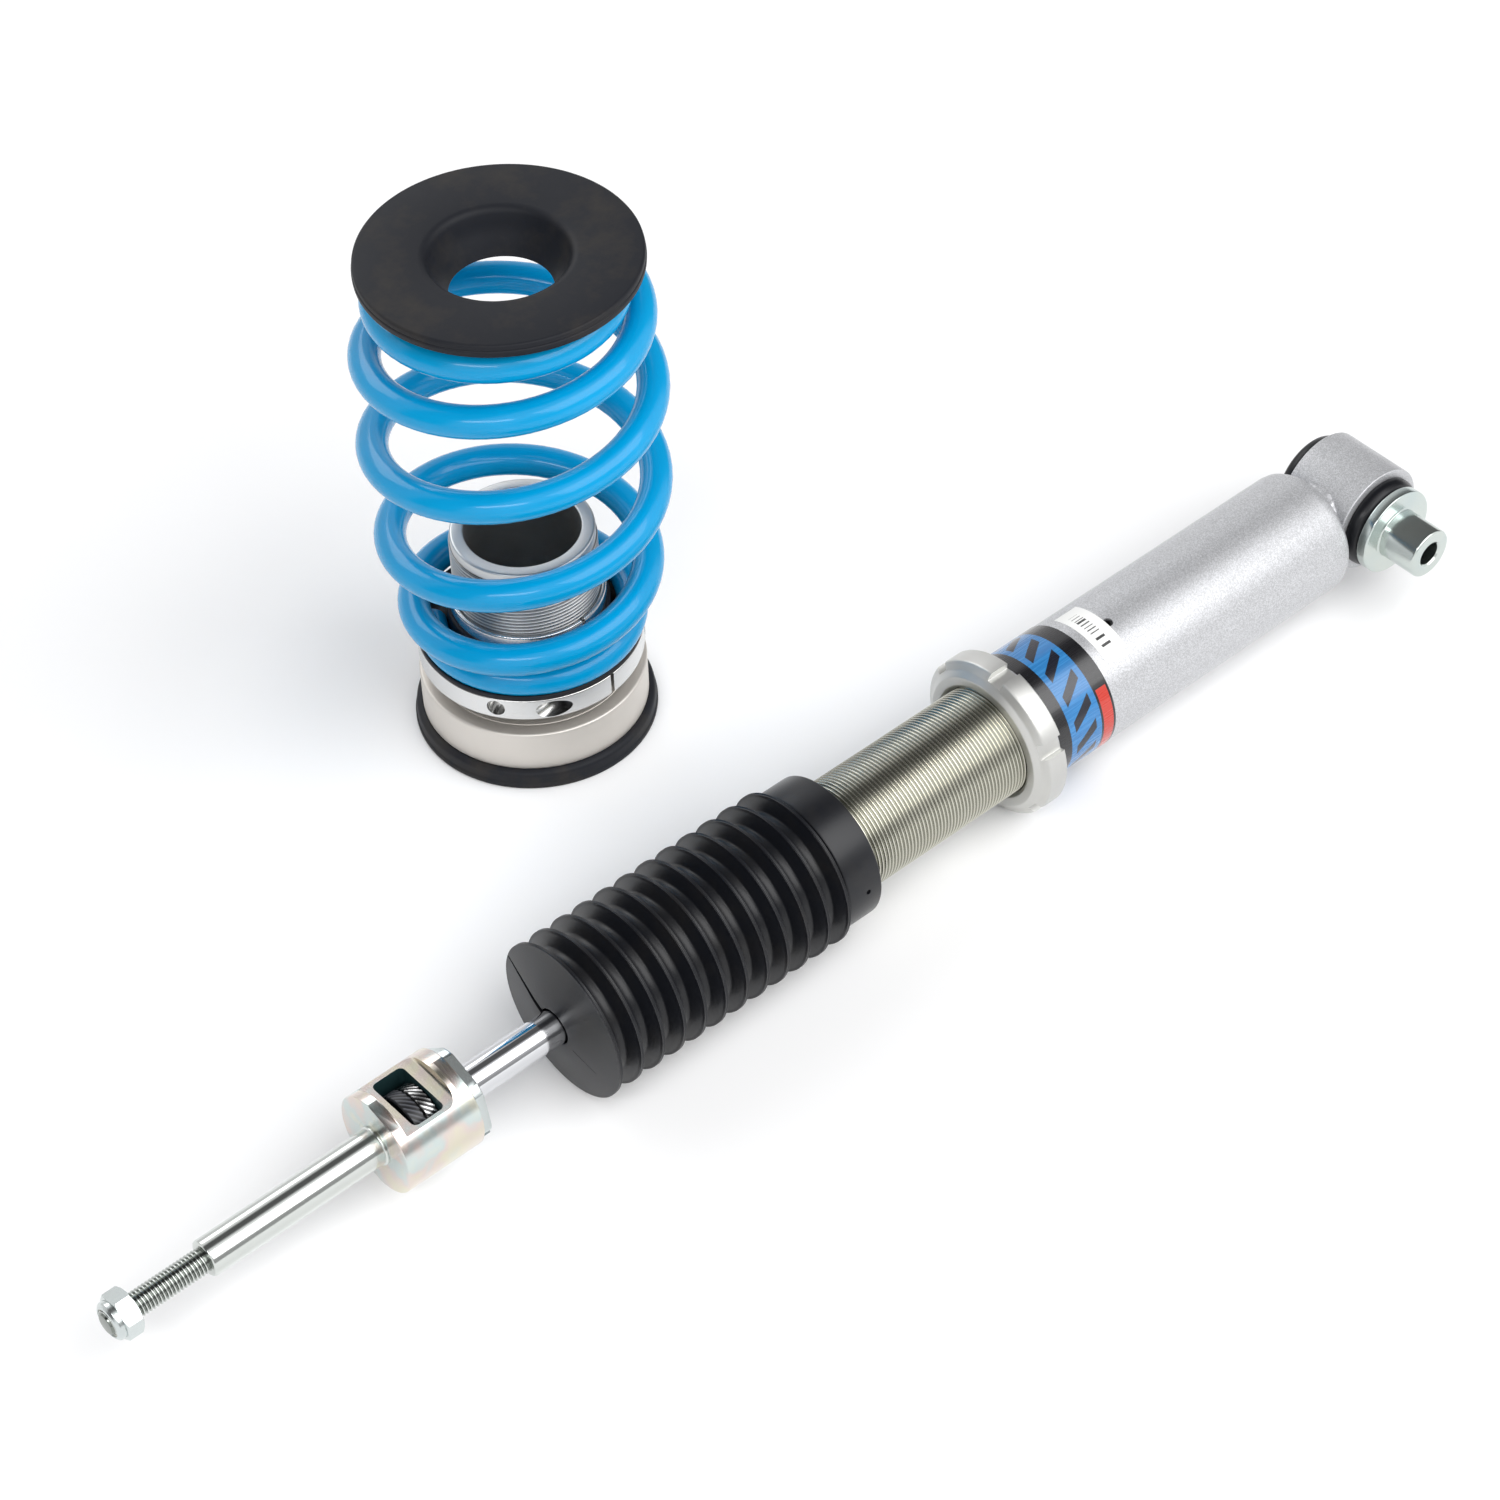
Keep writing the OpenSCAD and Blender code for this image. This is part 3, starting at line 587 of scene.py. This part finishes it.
print("dust boot")
boot = dict(ridges=12, rimX=493.1, pitch=11.95, radius=38.5, valley=30.2, wall=1.5, rim=0.95,
            cuffRadius=35.5, cuffStart=339.5, cuffEnd=359.4, hole=8.9, holeX=lowHigh("dust_boot", 0)[1], stroke=90.0)


def bootLine(depth):
    line = []
    for i in range(boot["ridges"] - 1, -1, -1):
        x = boot["rimX"] - i * boot["pitch"]
        line += [(boot["radius"] - 1.3 - depth, x - boot["rim"], 0.25), (boot["radius"] - depth, x - boot["rim"] + 0.15, 0.2),
                 (boot["radius"] - 0.5 - depth, x, 0.3), (boot["radius"] - depth, x + boot["rim"] - 0.15, 0.2),
                 (boot["radius"] - 1.3 - depth, x + boot["rim"], 0.25)]
        if i:
            line += [(boot["valley"] + 0.8 - depth, x + boot["pitch"] / 2 - 2.6, 0.9), (boot["valley"] - depth, x + boot["pitch"] / 2, 1.6),
                     (boot["valley"] + 0.8 - depth, x + boot["pitch"] / 2 + 2.6, 0.9)]
    return line


inside = [p for p in bootLine(boot["wall"]) if p[1] < boot["rimX"] - 2.2]
outline = ([(boot["valley"], boot["cuffEnd"] + 0.05)] + bootLine(0)[:]
           + [(boot["hole"] + 6, boot["holeX"] - 0.6, 3), (boot["hole"], boot["holeX"] + 0.0, 0.5), (boot["hole"], boot["holeX"] - 1.6, 0.3),
              (boot["valley"] - 2, boot["rimX"] - 1.4)] + inside[::-1] + [(boot["valley"] - boot["wall"], boot["cuffEnd"] + 0.05)])
slit = boxMesh((boot["hole"] - 3, -0.35, boot["rimX"] - 2), (boot["radius"] + 2, 0.35, boot["holeX"] + 3))
for v in slit.verts:                              # a wedge, open towards the rod
    if v.co.x < 0.02:
        v.co.y *= 5.0
bmesh.ops.transform(slit, matrix=turnAbout(160), verts=slit.verts)
flap = boxMesh((13, -0.15, boot["rimX"] - 3.0), (27, 0.15, boot["holeX"] + 3))
bmesh.ops.transform(flap, matrix=turnAbout(-28), verts=flap.verts)
bellows = lathe("bootBellows", outline, alongDamper, "tube", "dust_boot", bootRubber, 160, sharp=50, cuts=[slit, flap])
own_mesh(bellows)
vent = rodMesh(1.25, 30, 40, Matrix.Translation((0, 0, (boot["cuffStart"] + 8) * mm))
               @ Matrix.Rotation(radians(90 - 86), 4, "Z") @ Matrix.Rotation(radians(90), 4, "Y"), 32)
lathe("bootCuff", [(tube["crest"] + 0.15, boot["cuffStart"], 0.4), (boot["cuffRadius"], boot["cuffStart"], 0.9),
                   (boot["cuffRadius"], boot["cuffEnd"] - 0.6, 1.2), (boot["valley"] + 1.5, boot["cuffEnd"], 0.4),
                   (boot["valley"] - 1.5, boot["cuffEnd"]), (boot["valley"] - 1.5, boot["cuffEnd"] - 3),
                   (boot["cuffRadius"] - 1.8, boot["cuffEnd"] - 4), (boot["cuffRadius"] - 1.8, boot["cuffStart"] + 2.5),
                   (tube["crest"] + 0.15, boot["cuffStart"] + 2.5)],
      alongDamper, "tube", None, bootRubber, 144, cuts=[vent])

print("rod and adjuster")
rod = dict(radius=8.2, needle=2.6)
start, end = lowHigh("piston_rod", 0)
lathe("pistonRod", [(rod["needle"], start), (6, start), (6, 321.4), (rod["radius"], 321.4, 0.4), (rod["radius"], end), (rod["needle"], end)],
      alongDamper, "rod", "piston_rod", groundChrome, 128)

jam = dict(flats=41.4, low=lowHigh("jam_nut", 0)[0], width=4.6, corner=22.6)
hexShape = rodMesh(jam["flats"] / math.sqrt(3), jam["low"] - 1, jam["low"] + jam["width"] + 1, turnAbout(12), 6)
notch = boxMesh((19.6, -1.6, jam["low"] - 2), (26, 1.6, jam["low"] + jam["width"] + 2))
bmesh.ops.transform(notch, matrix=turnAbout(90 - 110), verts=notch.verts)
lathe("jamNut", [(rod["radius"] + 0.05, jam["low"], 0.3), (jam["corner"], jam["low"], 0.7),
                 (jam["corner"], jam["low"] + jam["width"], 0.3), (rod["radius"] + 0.05, jam["low"] + jam["width"], 0.2)],
      alongDamper, "jam", "jam_nut", zincTurned, 144, keep=[hexShape], cuts=[notch])

house = dict(radius=23.7, low=lowHigh("adjuster_housing", 0)[0], high=lowHigh("adjuster_housing", 0)[1], flat=16.4,
             flatFrom=563.2, flatTo=590.4, windowFrom=568.4, windowTo=584.7, windowHalf=15.0, cavity=15.9, wrench=22.3,
             wrenchAngle=14.5)
low, high = house["low"], house["high"]
flatCut = boxMesh((-32, house["flat"], house["flatFrom"]), (32, house["flat"] + 20, house["flatTo"]))
sweep = [e for e in flatCut.edges if all(abs(v.co.y - house["flat"] * mm) < 1e-6 and abs(v.co.z - house["flatFrom"] * mm) < 1e-6 for v in e.verts)]
bmesh.ops.bevel(flatCut, geom=sweep, offset=5.0 * mm, affect="EDGES", segments=10, profile=0.5, material=-1)
windowCut = boxMesh((-house["windowHalf"], 4, house["windowFrom"]), (house["windowHalf"], 40, house["windowTo"]), 2.6, 1)
cavityCut = rodMesh(house["cavity"], house["windowFrom"], house["windowTo"], segments=96)
wrenchCuts = []
for turn in (0, 180):
    for a, b in ((low - 1, low + 5.1), (high - 4.6, high + 1)):
        cutter = boxMesh((-22, house["wrench"], a), (22, house["wrench"] + 5, b))
        bmesh.ops.transform(cutter, matrix=turnAbout(-house["wrenchAngle"] + turn), verts=cutter.verts)
        wrenchCuts.append(cutter)
housing = lathe("adjusterHousing", [(0, low), (house["radius"], low, 0.5), (house["radius"], high, 0.7), (0, high)],
                alongDamper, "rod", "adjuster_housing", rainbowZinc, 192, False,
                cuts=[flatCut, windowCut, cavityCut, rodMesh(rod["radius"], low - 1, low + 10.9), rodMesh(3.2, low + 10, house["windowFrom"] + 1),
                      rodMesh(8.6, high - 8, high + 1)] + wrenchCuts)
edge = housing.modifiers.new("edges", "BEVEL")
edge.width, edge.segments, edge.limit_method, edge.angle_limit = 0.22 * mm, 2, "ANGLE", radians(40)
edge.harden_normals = False
housing.data.materials.append(paintedWindowShade)
for face in housing.data.polygons:                # painted shade: the walls inside the window take the near-black material
    c = face.center
    deep = (c.y ** 2 + c.z ** 2) ** 0.5 < (house["cavity"] + 0.2) * mm and c.z < (house["flat"] - 0.3) * mm
    inWindow = abs(c.y) < (house["windowHalf"] + 0.1) * mm and c.z > 3.9 * mm and c.z < (house["flat"] - 0.2) * mm
    if house["windowFrom"] * mm - 1e-5 < c.x < house["windowTo"] * mm + 1e-5 and (deep or inWindow):
        face.material_index = 1


def knurled(name, radius, low, high, bore, teeth, rows, height, body, node, material, diamond):
    bm = bmesh.new()
    profile = [(bore, low), (radius - 1.0, low)] + [(radius, low + 0.7 + (high - low - 1.4) * i / rows) for i in range(rows + 1)] \
        + [(radius - 1.0, high), (bore, high)]
    verts = [bm.verts.new((r * mm, 0, h * mm)) for r, h in profile]
    edges = [bm.edges.new(pair) for pair in zip(verts, verts[1:] + verts[:1])]
    bmesh.ops.spin(bm, geom=verts + edges, cent=(0, 0, 0), axis=(0, 0, 1), dvec=(0, 0, 0), angle=2 * pi,
                   steps=teeth * 2, use_merge=True)
    bmesh.ops.remove_doubles(bm, verts=bm.verts, dist=1e-7)
    for v in bm.verts:
        far = v.co.xy.length / mm
        if far < radius - 0.1:
            continue
        column = round(math.atan2(v.co.y, v.co.x) / (pi / teeth))
        row = round((v.co.z / mm - low - 0.7) / ((high - low - 1.4) / rows)) if diamond else 0
        if (column + row) % 2:
            v.co.xy *= (far - height) / far
    return finish(name, bm, alongDamper, body, node, material, 15)


knob = dict(radius=15.3, teeth=32, rows=4, height=0.8)
low, high = lowHigh("damping_knob", 0)
knurled("dampingKnob", knob["radius"], low, low + 6.6, 2.65, knob["teeth"], knob["rows"], knob["height"], "knob", "damping_knob", blackKnob, True)
click = dict(radius=14.9, teeth=32, rows=4, height=0.75)
low, high = lowHigh("click_ring", 0)
knurled("clickRing", click["radius"], low, high, 4.0, click["teeth"], click["rows"], click["height"], "click", "click_ring", knurlSteel, True)

ext = dict(radius=8.6, collar=9.5, shoulder=684.2, stud=5.9, depth=0.95, pitch=1.75, low=lowHigh("extension_rod", 0)[0],
           high=lowHigh("extension_rod", 0)[1])
face = house["high"]
rodPart = latheMesh([(0, ext["low"]), (ext["radius"], ext["low"]), (ext["radius"], face), (ext["collar"], face + 0.05),
                     (ext["collar"], face + 1.0, 0.4), (ext["radius"], face + 1.3), (ext["radius"], ext["shoulder"], 1.2),
                     (ext["stud"] - ext["depth"], ext["shoulder"]), (ext["stud"] - ext["depth"], ext["shoulder"] + 2.0),
                     (0, ext["shoulder"] + 2.0)], 128, False)
stud = threadMesh(ext["stud"], ext["depth"], ext["pitch"], ext["shoulder"] + 1.2, ext["high"] - 0.9, 0, 64)
tip = latheMesh([(0, ext["high"] - 1.4), (ext["stud"] - 0.6, ext["high"] - 1.4), (ext["stud"] - 1.2, ext["high"], 0.3), (0, ext["high"])], 64, False)
finish("extensionRod", joined(rodPart, stud, tip), alongDamper, "rod", "extension_rod", studSteel, 45)

nut = dict(flats=19.0, low=720.7, high=728.9, collar=8.9, end=732.4, bore=5.97, cornerTurn=40)
hexShape = rodMesh(nut["flats"] / math.sqrt(3), nut["low"] - 1, nut["high"] + 1, turnAbout(90 - nut["cornerTurn"]), 6)
hexPart = booleanMesh(latheMesh([(nut["bore"], nut["low"], 0.4), (9.7, nut["low"]), (11.1, nut["low"] + 0.9), (11.1, nut["high"] - 0.9),
                                 (9.7, nut["high"]), (nut["bore"], nut["high"])], 144), hexShape, "INTERSECT")
collarPart = latheMesh([(8.0, nut["high"] - 0.4), (nut["collar"], nut["high"] - 0.4), (nut["collar"], nut["end"] - 1.3, 0.5),
                        (7.3, nut["end"], 0.6), (6.6, nut["end"], 0.3), (6.6, nut["end"] - 0.9), (8.0, nut["end"] - 1.4)], 96)
finish("topNut", joined(hexPart, collarPart), alongDamper, "nut", "top_nut", zincTurned, 35)

print("spring unit")
pad = dict(bore=27.2, radius=57.9, height=9.0)
basePad = latheMesh([(pad["bore"], 0, 0.6), (pad["radius"], 0, 0.9), (pad["radius"], 2.4, 0.5), (57.3, 3.0, 0.3), (57.0, 8.2, 1.6),
                     (55.0, pad["height"], 0.8), (pad["bore"], pad["height"], 0.5)], 192)
finish("basePad", basePad, onUnit, "base", "base_pad", padRubber, 45)
cup = dict(radius=53.9, low=9.05, high=31.1, bore=34.43)
lathe("baseCup", [(cup["bore"], cup["low"]), (cup["radius"], cup["low"], 1.0), (cup["radius"], cup["high"], 1.3),
                  (46.9, cup["high"], 0.15), (46.7, cup["high"] - 0.3, 0.1), (46.5, cup["high"], 0.15), (cup["bore"], cup["high"], 0.4)],
      onUnit, "base", "base_cup", blastedSteel, 192)
post = dict(crest=34.4, depth=0.8, pitch=2.0, bore=27.2, low=33.0, threadTop=107.5, top=113.0)
postLow = latheMesh([(post["bore"], 9.05), (post["crest"], 9.05), (post["crest"], post["low"] + 0.1), (post["bore"], post["low"] + 0.1)], 160)
postThread = threadMesh(post["crest"], post["depth"], post["pitch"], post["low"], post["threadTop"], post["bore"], 112)
postTop = latheMesh([(post["bore"], post["threadTop"] - 0.1), (post["crest"] - 0.7, post["threadTop"] - 0.1), (post["crest"] - 0.7, post["top"], 1.3),
                     (post["bore"], post["top"], 0.9)], 160)
threadedSleeve = finish("threadedSleeve", joined(postLow, postThread, postTop), onUnit, "base", "threaded_sleeve", sleeveAluminium, 50)
threadedSleeve.data.materials.append(bandAluminium)
for face in threadedSleeve.data.polygons:         # the plain band at the top, and the bore
    offAxis = math.hypot(face.center.x - unitX * mm, face.center.y - unitY * mm)
    inBore = offAxis < (post["bore"] + 0.2) * mm
    if inBore or face.center.z > (floorZ + post["threadTop"] + 0.05) * mm:
        face.material_index = 1

perch = dict(bore=34.47, low=40.7, rim=52.8, seat=51.0, radius=53.5, hub=36.9, top=77.0, slit=41.7, slitWidth=2.0,
             holes=(-21.1, -111.1, 158.9, 87.0), holeRadius=4.4, holeZ=47.3, screwReach=44.1, screwZ=46.6, pocket=5.3)
clampAxis = turnAbout(perch["slit"]) @ Matrix.Translation((perch["screwReach"] * mm, 0, perch["screwZ"] * mm)) @ Matrix.Rotation(radians(90), 4, "X")
slitCut = boxMesh((perch["bore"] - 4, -perch["slitWidth"] / 2, perch["low"] - 2), (perch["radius"] + 4, perch["slitWidth"] / 2, perch["top"] + 2))
bmesh.ops.transform(slitCut, matrix=turnAbout(perch["slit"]), verts=slitCut.verts)
holeCuts = [rodMesh(perch["holeRadius"], perch["radius"] - 8, perch["radius"] + 3, turnAbout(a) @ Matrix.Translation((0, 0, perch["holeZ"] * mm))
                    @ Matrix.Rotation(radians(90), 4, "Y")) for a in perch["holes"]]
lathe("perchRing", [(perch["bore"] + 0.8, perch["low"], 0.3), (perch["radius"], perch["low"], 1.2), (perch["radius"], perch["rim"], 0.7),
                    (51.7, perch["rim"], 0.3), (51.7, perch["seat"]), (perch["hub"], perch["seat"]), (perch["hub"], perch["top"], 1.4),
                    (perch["bore"], perch["top"], 0.5), (perch["bore"], perch["low"] + 0.8, 0.3)],
                   onUnit, "perch", "perch_ring", perchAluminium, 224,
                   cuts=[slitCut, rodMesh(perch["pocket"] - 0.5, 14, 50, clampAxis), rodMesh(2.95, -24, 36, clampAxis)] + holeCuts)

iso = dict(hub=37.0, seat=51.0, rim=52.85, lip=53.4, wallTop=70.0)
lathe("springIsolator", [(iso["hub"], iso["seat"]), (51.4, iso["seat"]), (51.4, iso["rim"]), (iso["lip"], iso["rim"], 0.3), (iso["lip"], iso["rim"] + 2.5, 0.7),
                         (52.6, iso["rim"] + 2.6, 0.3), (51.0, iso["rim"] + 0.9, 0.6), (47.0, iso["seat"] + 1.0, 1.0), (44.5, iso["seat"] + 1.0, 1.0),
                         (40.6, iso["rim"] + 0.8, 0.8), (38.5, 58, 0.8), (38.3, iso["wallTop"] - 0.6, 0.4), (iso["hub"], iso["wallTop"])],
      onUnit, "seat", "spring_isolator", padRubber, 192)

coil = dict(wire=7.5, low=59.6, rise=191.9, turns=5.0, lowRadius=46.0, midRadius=63.8, topRadius=52.0, dead=0.25, endTurn=0.4,
            endRise=4.0, endDraw=3.2, steps=64, sides=36)


def coilCentre(t):
    share = min(max(t, 0), coil["turns"]) / coil["turns"]
    last = max(0, t - coil["turns"]) / coil["endTurn"]
    if share < 0.52:
        r = coil["midRadius"] - (coil["midRadius"] - coil["lowRadius"]) * (1 - share / 0.52) ** 1.5
    else:
        r = coil["midRadius"] - (coil["midRadius"] - coil["topRadius"]) * max(0, (share - 0.64) / 0.36) ** 2
    r -= coil["endDraw"] * last
    z = coil["low"] + coil["endRise"] * last + coil["rise"] * (0.12 * share + 0.88 * (3 * share ** 2 - 2 * share ** 3))
    return Vector((r * cos(2 * pi * t), r * sin(2 * pi * t), z)) * mm


def coilFrame(t):
    here, ahead = coilCentre(t), coilCentre(t + 0.004) - coilCentre(t - 0.004)
    forward = ahead.normalized()
    outward = Vector((here.x, here.y, 0)).normalized()
    side = (outward - forward * outward.dot(forward)).normalized()
    up = forward.cross(side)
    turn = Matrix((side, up, forward)).transposed().to_4x4()
    return Matrix.Translation(here) @ turn


def makeSpring():
    bm = bmesh.new()
    share = bm.verts.layers.float.new("share")
    count = round((coil["turns"] + coil["dead"] + coil["endTurn"]) * coil["steps"])
    times = [-coil["dead"] + i / coil["steps"] for i in range(count + 1)]
    lowEnd, highEnd = coil["low"] * mm, (coil["low"] + coil["rise"] + coil["endRise"]) * mm
    ring = bmesh.ops.create_circle(bm, segments=coil["sides"], radius=coil["wire"] * mm)["verts"]
    edges = list({e for v in ring for e in v.link_edges})
    cap = bm.faces.new(ring)
    place = coilFrame(times[0])
    bmesh.ops.transform(bm, matrix=place, verts=ring)
    for t in times[1:]:
        made = bmesh.ops.extrude_edge_only(bm, edges=edges)["geom"]
        ring = [g for g in made if isinstance(g, bmesh.types.BMVert)]
        edges = [g for g in made if isinstance(g, bmesh.types.BMEdge)]
        nextPlace = coilFrame(t)
        bmesh.ops.transform(bm, matrix=nextPlace @ place.inverted(), verts=ring)
        place = nextPlace
        height = min(1, max(0, (coilCentre(t).z - lowEnd) / (highEnd - lowEnd)))
        for v in ring:
            v[share] = height
    bmesh.ops.holes_fill(bm, edges=edges, sides=0)
    ends = [f for f in bm.faces if len(f.verts) > 4]
    rims = [e for f in ends for e in f.edges]
    bmesh.ops.bevel(bm, geom=rims, offset=0.8 * mm, affect="EDGES", segments=3, profile=0.5, material=-1)
    return bm


spring = finish("coilSpring", makeSpring(), onUnit, None, "coil_spring", bluePowder, 50)
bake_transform(spring, "seat", "top", start=(unitX * mm, unitY * mm, (floorZ + coil["low"]) * mm),
         end=(unitX * mm, unitY * mm, (floorZ + coil["low"] + coil["rise"]) * mm))
shares = spring.data.attributes["share"].data      # one share for each ring keeps the wire round
weights = spring.data.attributes["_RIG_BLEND"].data
for i in range(len(shares)):
    weights[i].value = shares[i].value

top = dict(radius=64.05, top=271.7, hole=32.0, under=262.4, neck=27.0, neckLow=251.0, wall=23.0)
lathe("topPad", [(top["wall"], top["neckLow"], 0.8), (top["neck"], top["neckLow"], 0.8), (34.0, top["under"], 1.5), (43.0, top["under"]),
                 (45.0, 263.15), (59.0, 263.15), (61.6, 265.0, 0.8), (top["radius"] - 0.2, 265.3, 0.7), (top["radius"], 268.2, 0.5), (63.5, 268.7, 0.2),
                 (top["radius"] - 0.3, 269.2, 0.3), (top["radius"] - 0.5, top["top"], 1.3), (top["hole"], top["top"], 3.2), (29.0, 262.0, 3.0)],
      onUnit, "top", "top_pad", padRubber, 192, sharp=45)

print("finishes")
kept = {
    "grub_screw": darkSteel, "label_band": labelFilm, "spec_label": labelPaper, "base_cap": zincTurned, "gland_nut": darkSteel,
    "floating_piston": ringAluminium, "floating_seal": bushRubber, "rod_guide": sinteredSteel, "rod_seal": bushRubber,
    "piston": sinteredSteel, "piston_band": bandPolymer, "shim_stack": brightSteel, "piston_nut": brightSteel,
    "bump_stop": bumpFoam, "needle_rod": brightSteel, "nut_insert": nylon, "clamp_screw": darkSteel,
}
for node, material in kept.items():
    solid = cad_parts[node]
    solid = solid if hasattr(solid, "data") else bpy.data.objects[node]
    solid.data.materials.clear()
    solid.data.materials.append(material)

print("studio")
studio = dict(floor=6.0, key=27.0, streak=7.0, rim=8.0, world=1.12,
              sky=((0.0, 0.7), (0.24, 0.8), (0.29, 0.10), (0.52, 0.10), (0.60, 1.0), (0.86, 1.0), (0.95, 0.35), (1.0, 0.35)))
floorMesh = bmesh.new()
bmesh.ops.create_grid(floorMesh, x_segments=1, y_segments=1, size=studio["floor"],
                      matrix=Matrix.Translation((0.35, -0.1, floorZ * mm - 0.0002)))
mesh = bpy.data.meshes.new("floor")
floorMesh.to_mesh(mesh)
floorMesh.free()
floor = bpy.data.objects.new("floor", mesh)
bpy.context.scene.collection.objects.link(floor)
look = Look("floorPaper", (0.93, 0.93, 0.93), 0.0, 0.9)
look.paint(look.mix(look.noise(look.mapped(), 3, 2.0), (0.93, 0.93, 0.93), (0.95, 0.95, 0.95)))
mesh.materials.append(look.material)


def softBox(name, place, target, size, power, colour=(1, 1, 1)):
    light = bpy.data.lights.new(name, "AREA")
    light.shape, light.size, light.size_y = "RECTANGLE", size[0], size[1]
    light.energy, light.color = power, colour
    lamp = bpy.data.objects.new(name, light)
    lamp.location = place
    lamp.rotation_euler = (Vector(target) - Vector(place)).to_track_quat("-Z", "Y").to_euler()
    bpy.context.scene.collection.objects.link(lamp)


middlePoint = (0.36, -0.06, 0.03)
softBox("keyLight", (-0.1, 1.25, 1.45), middlePoint, (2.2, 1.5), studio["key"])
softBox("streakLight", (1.75, 0.6, 1.45), middlePoint, (1.1, 0.3), studio["streak"])
softBox("rimLight", (0.3, -1.7, 1.2), middlePoint, (1.6, 0.7), studio["rim"])
world = bpy.data.worlds.new("studio")
bpy.context.scene.world = world
world.use_nodes = True
sky = world.node_tree                             # a dark band overhead, so that metal has something to mirror
coords, split = sky.nodes.new("ShaderNodeTexCoord"), sky.nodes.new("ShaderNodeSeparateXYZ")
fade = sky.nodes.new("ShaderNodeValToRGB")
sky.links.new(coords.outputs["Generated"], split.inputs[0])
halve = sky.nodes.new("ShaderNodeMapRange")
halve.inputs["From Min"].default_value = -1.0
sky.links.new(split.outputs["Y"], halve.inputs["Value"])
sky.links.new(halve.outputs["Result"], fade.inputs["Fac"])
while len(fade.color_ramp.elements) < len(studio["sky"]):
    fade.color_ramp.elements.new(0.5)
for element, (place, level) in zip(fade.color_ramp.elements, studio["sky"]):
    element.position, element.color = place, (level, level, level * 1.01, 1)
sky.links.new(fade.outputs["Color"], sky.nodes["Background"].inputs["Color"])
sky.nodes["Background"].inputs["Strength"].default_value = studio["world"]
bpy.context.scene.view_settings.view_transform = "Standard"

view = dict(place=(1.17608, 0.94485, 1.32437), forward=(-0.45428, -0.54139, -0.70748), roll=-2.03, lens=98.13)
lens = bpy.data.cameras.new("camera")
lens.lens, lens.sensor_width, lens.clip_end = view["lens"], 36.0, 50.0
camera = bpy.data.objects.new("camera", lens)
turn = Vector(view["forward"]).to_track_quat("-Z", "Y").to_matrix().to_4x4()
camera.matrix_world = Matrix.Translation(view["place"]) @ turn @ Matrix.Rotation(radians(view["roll"]), 4, "Z")
bpy.context.scene.collection.objects.link(camera)
bpy.context.scene.camera = camera

print("done")
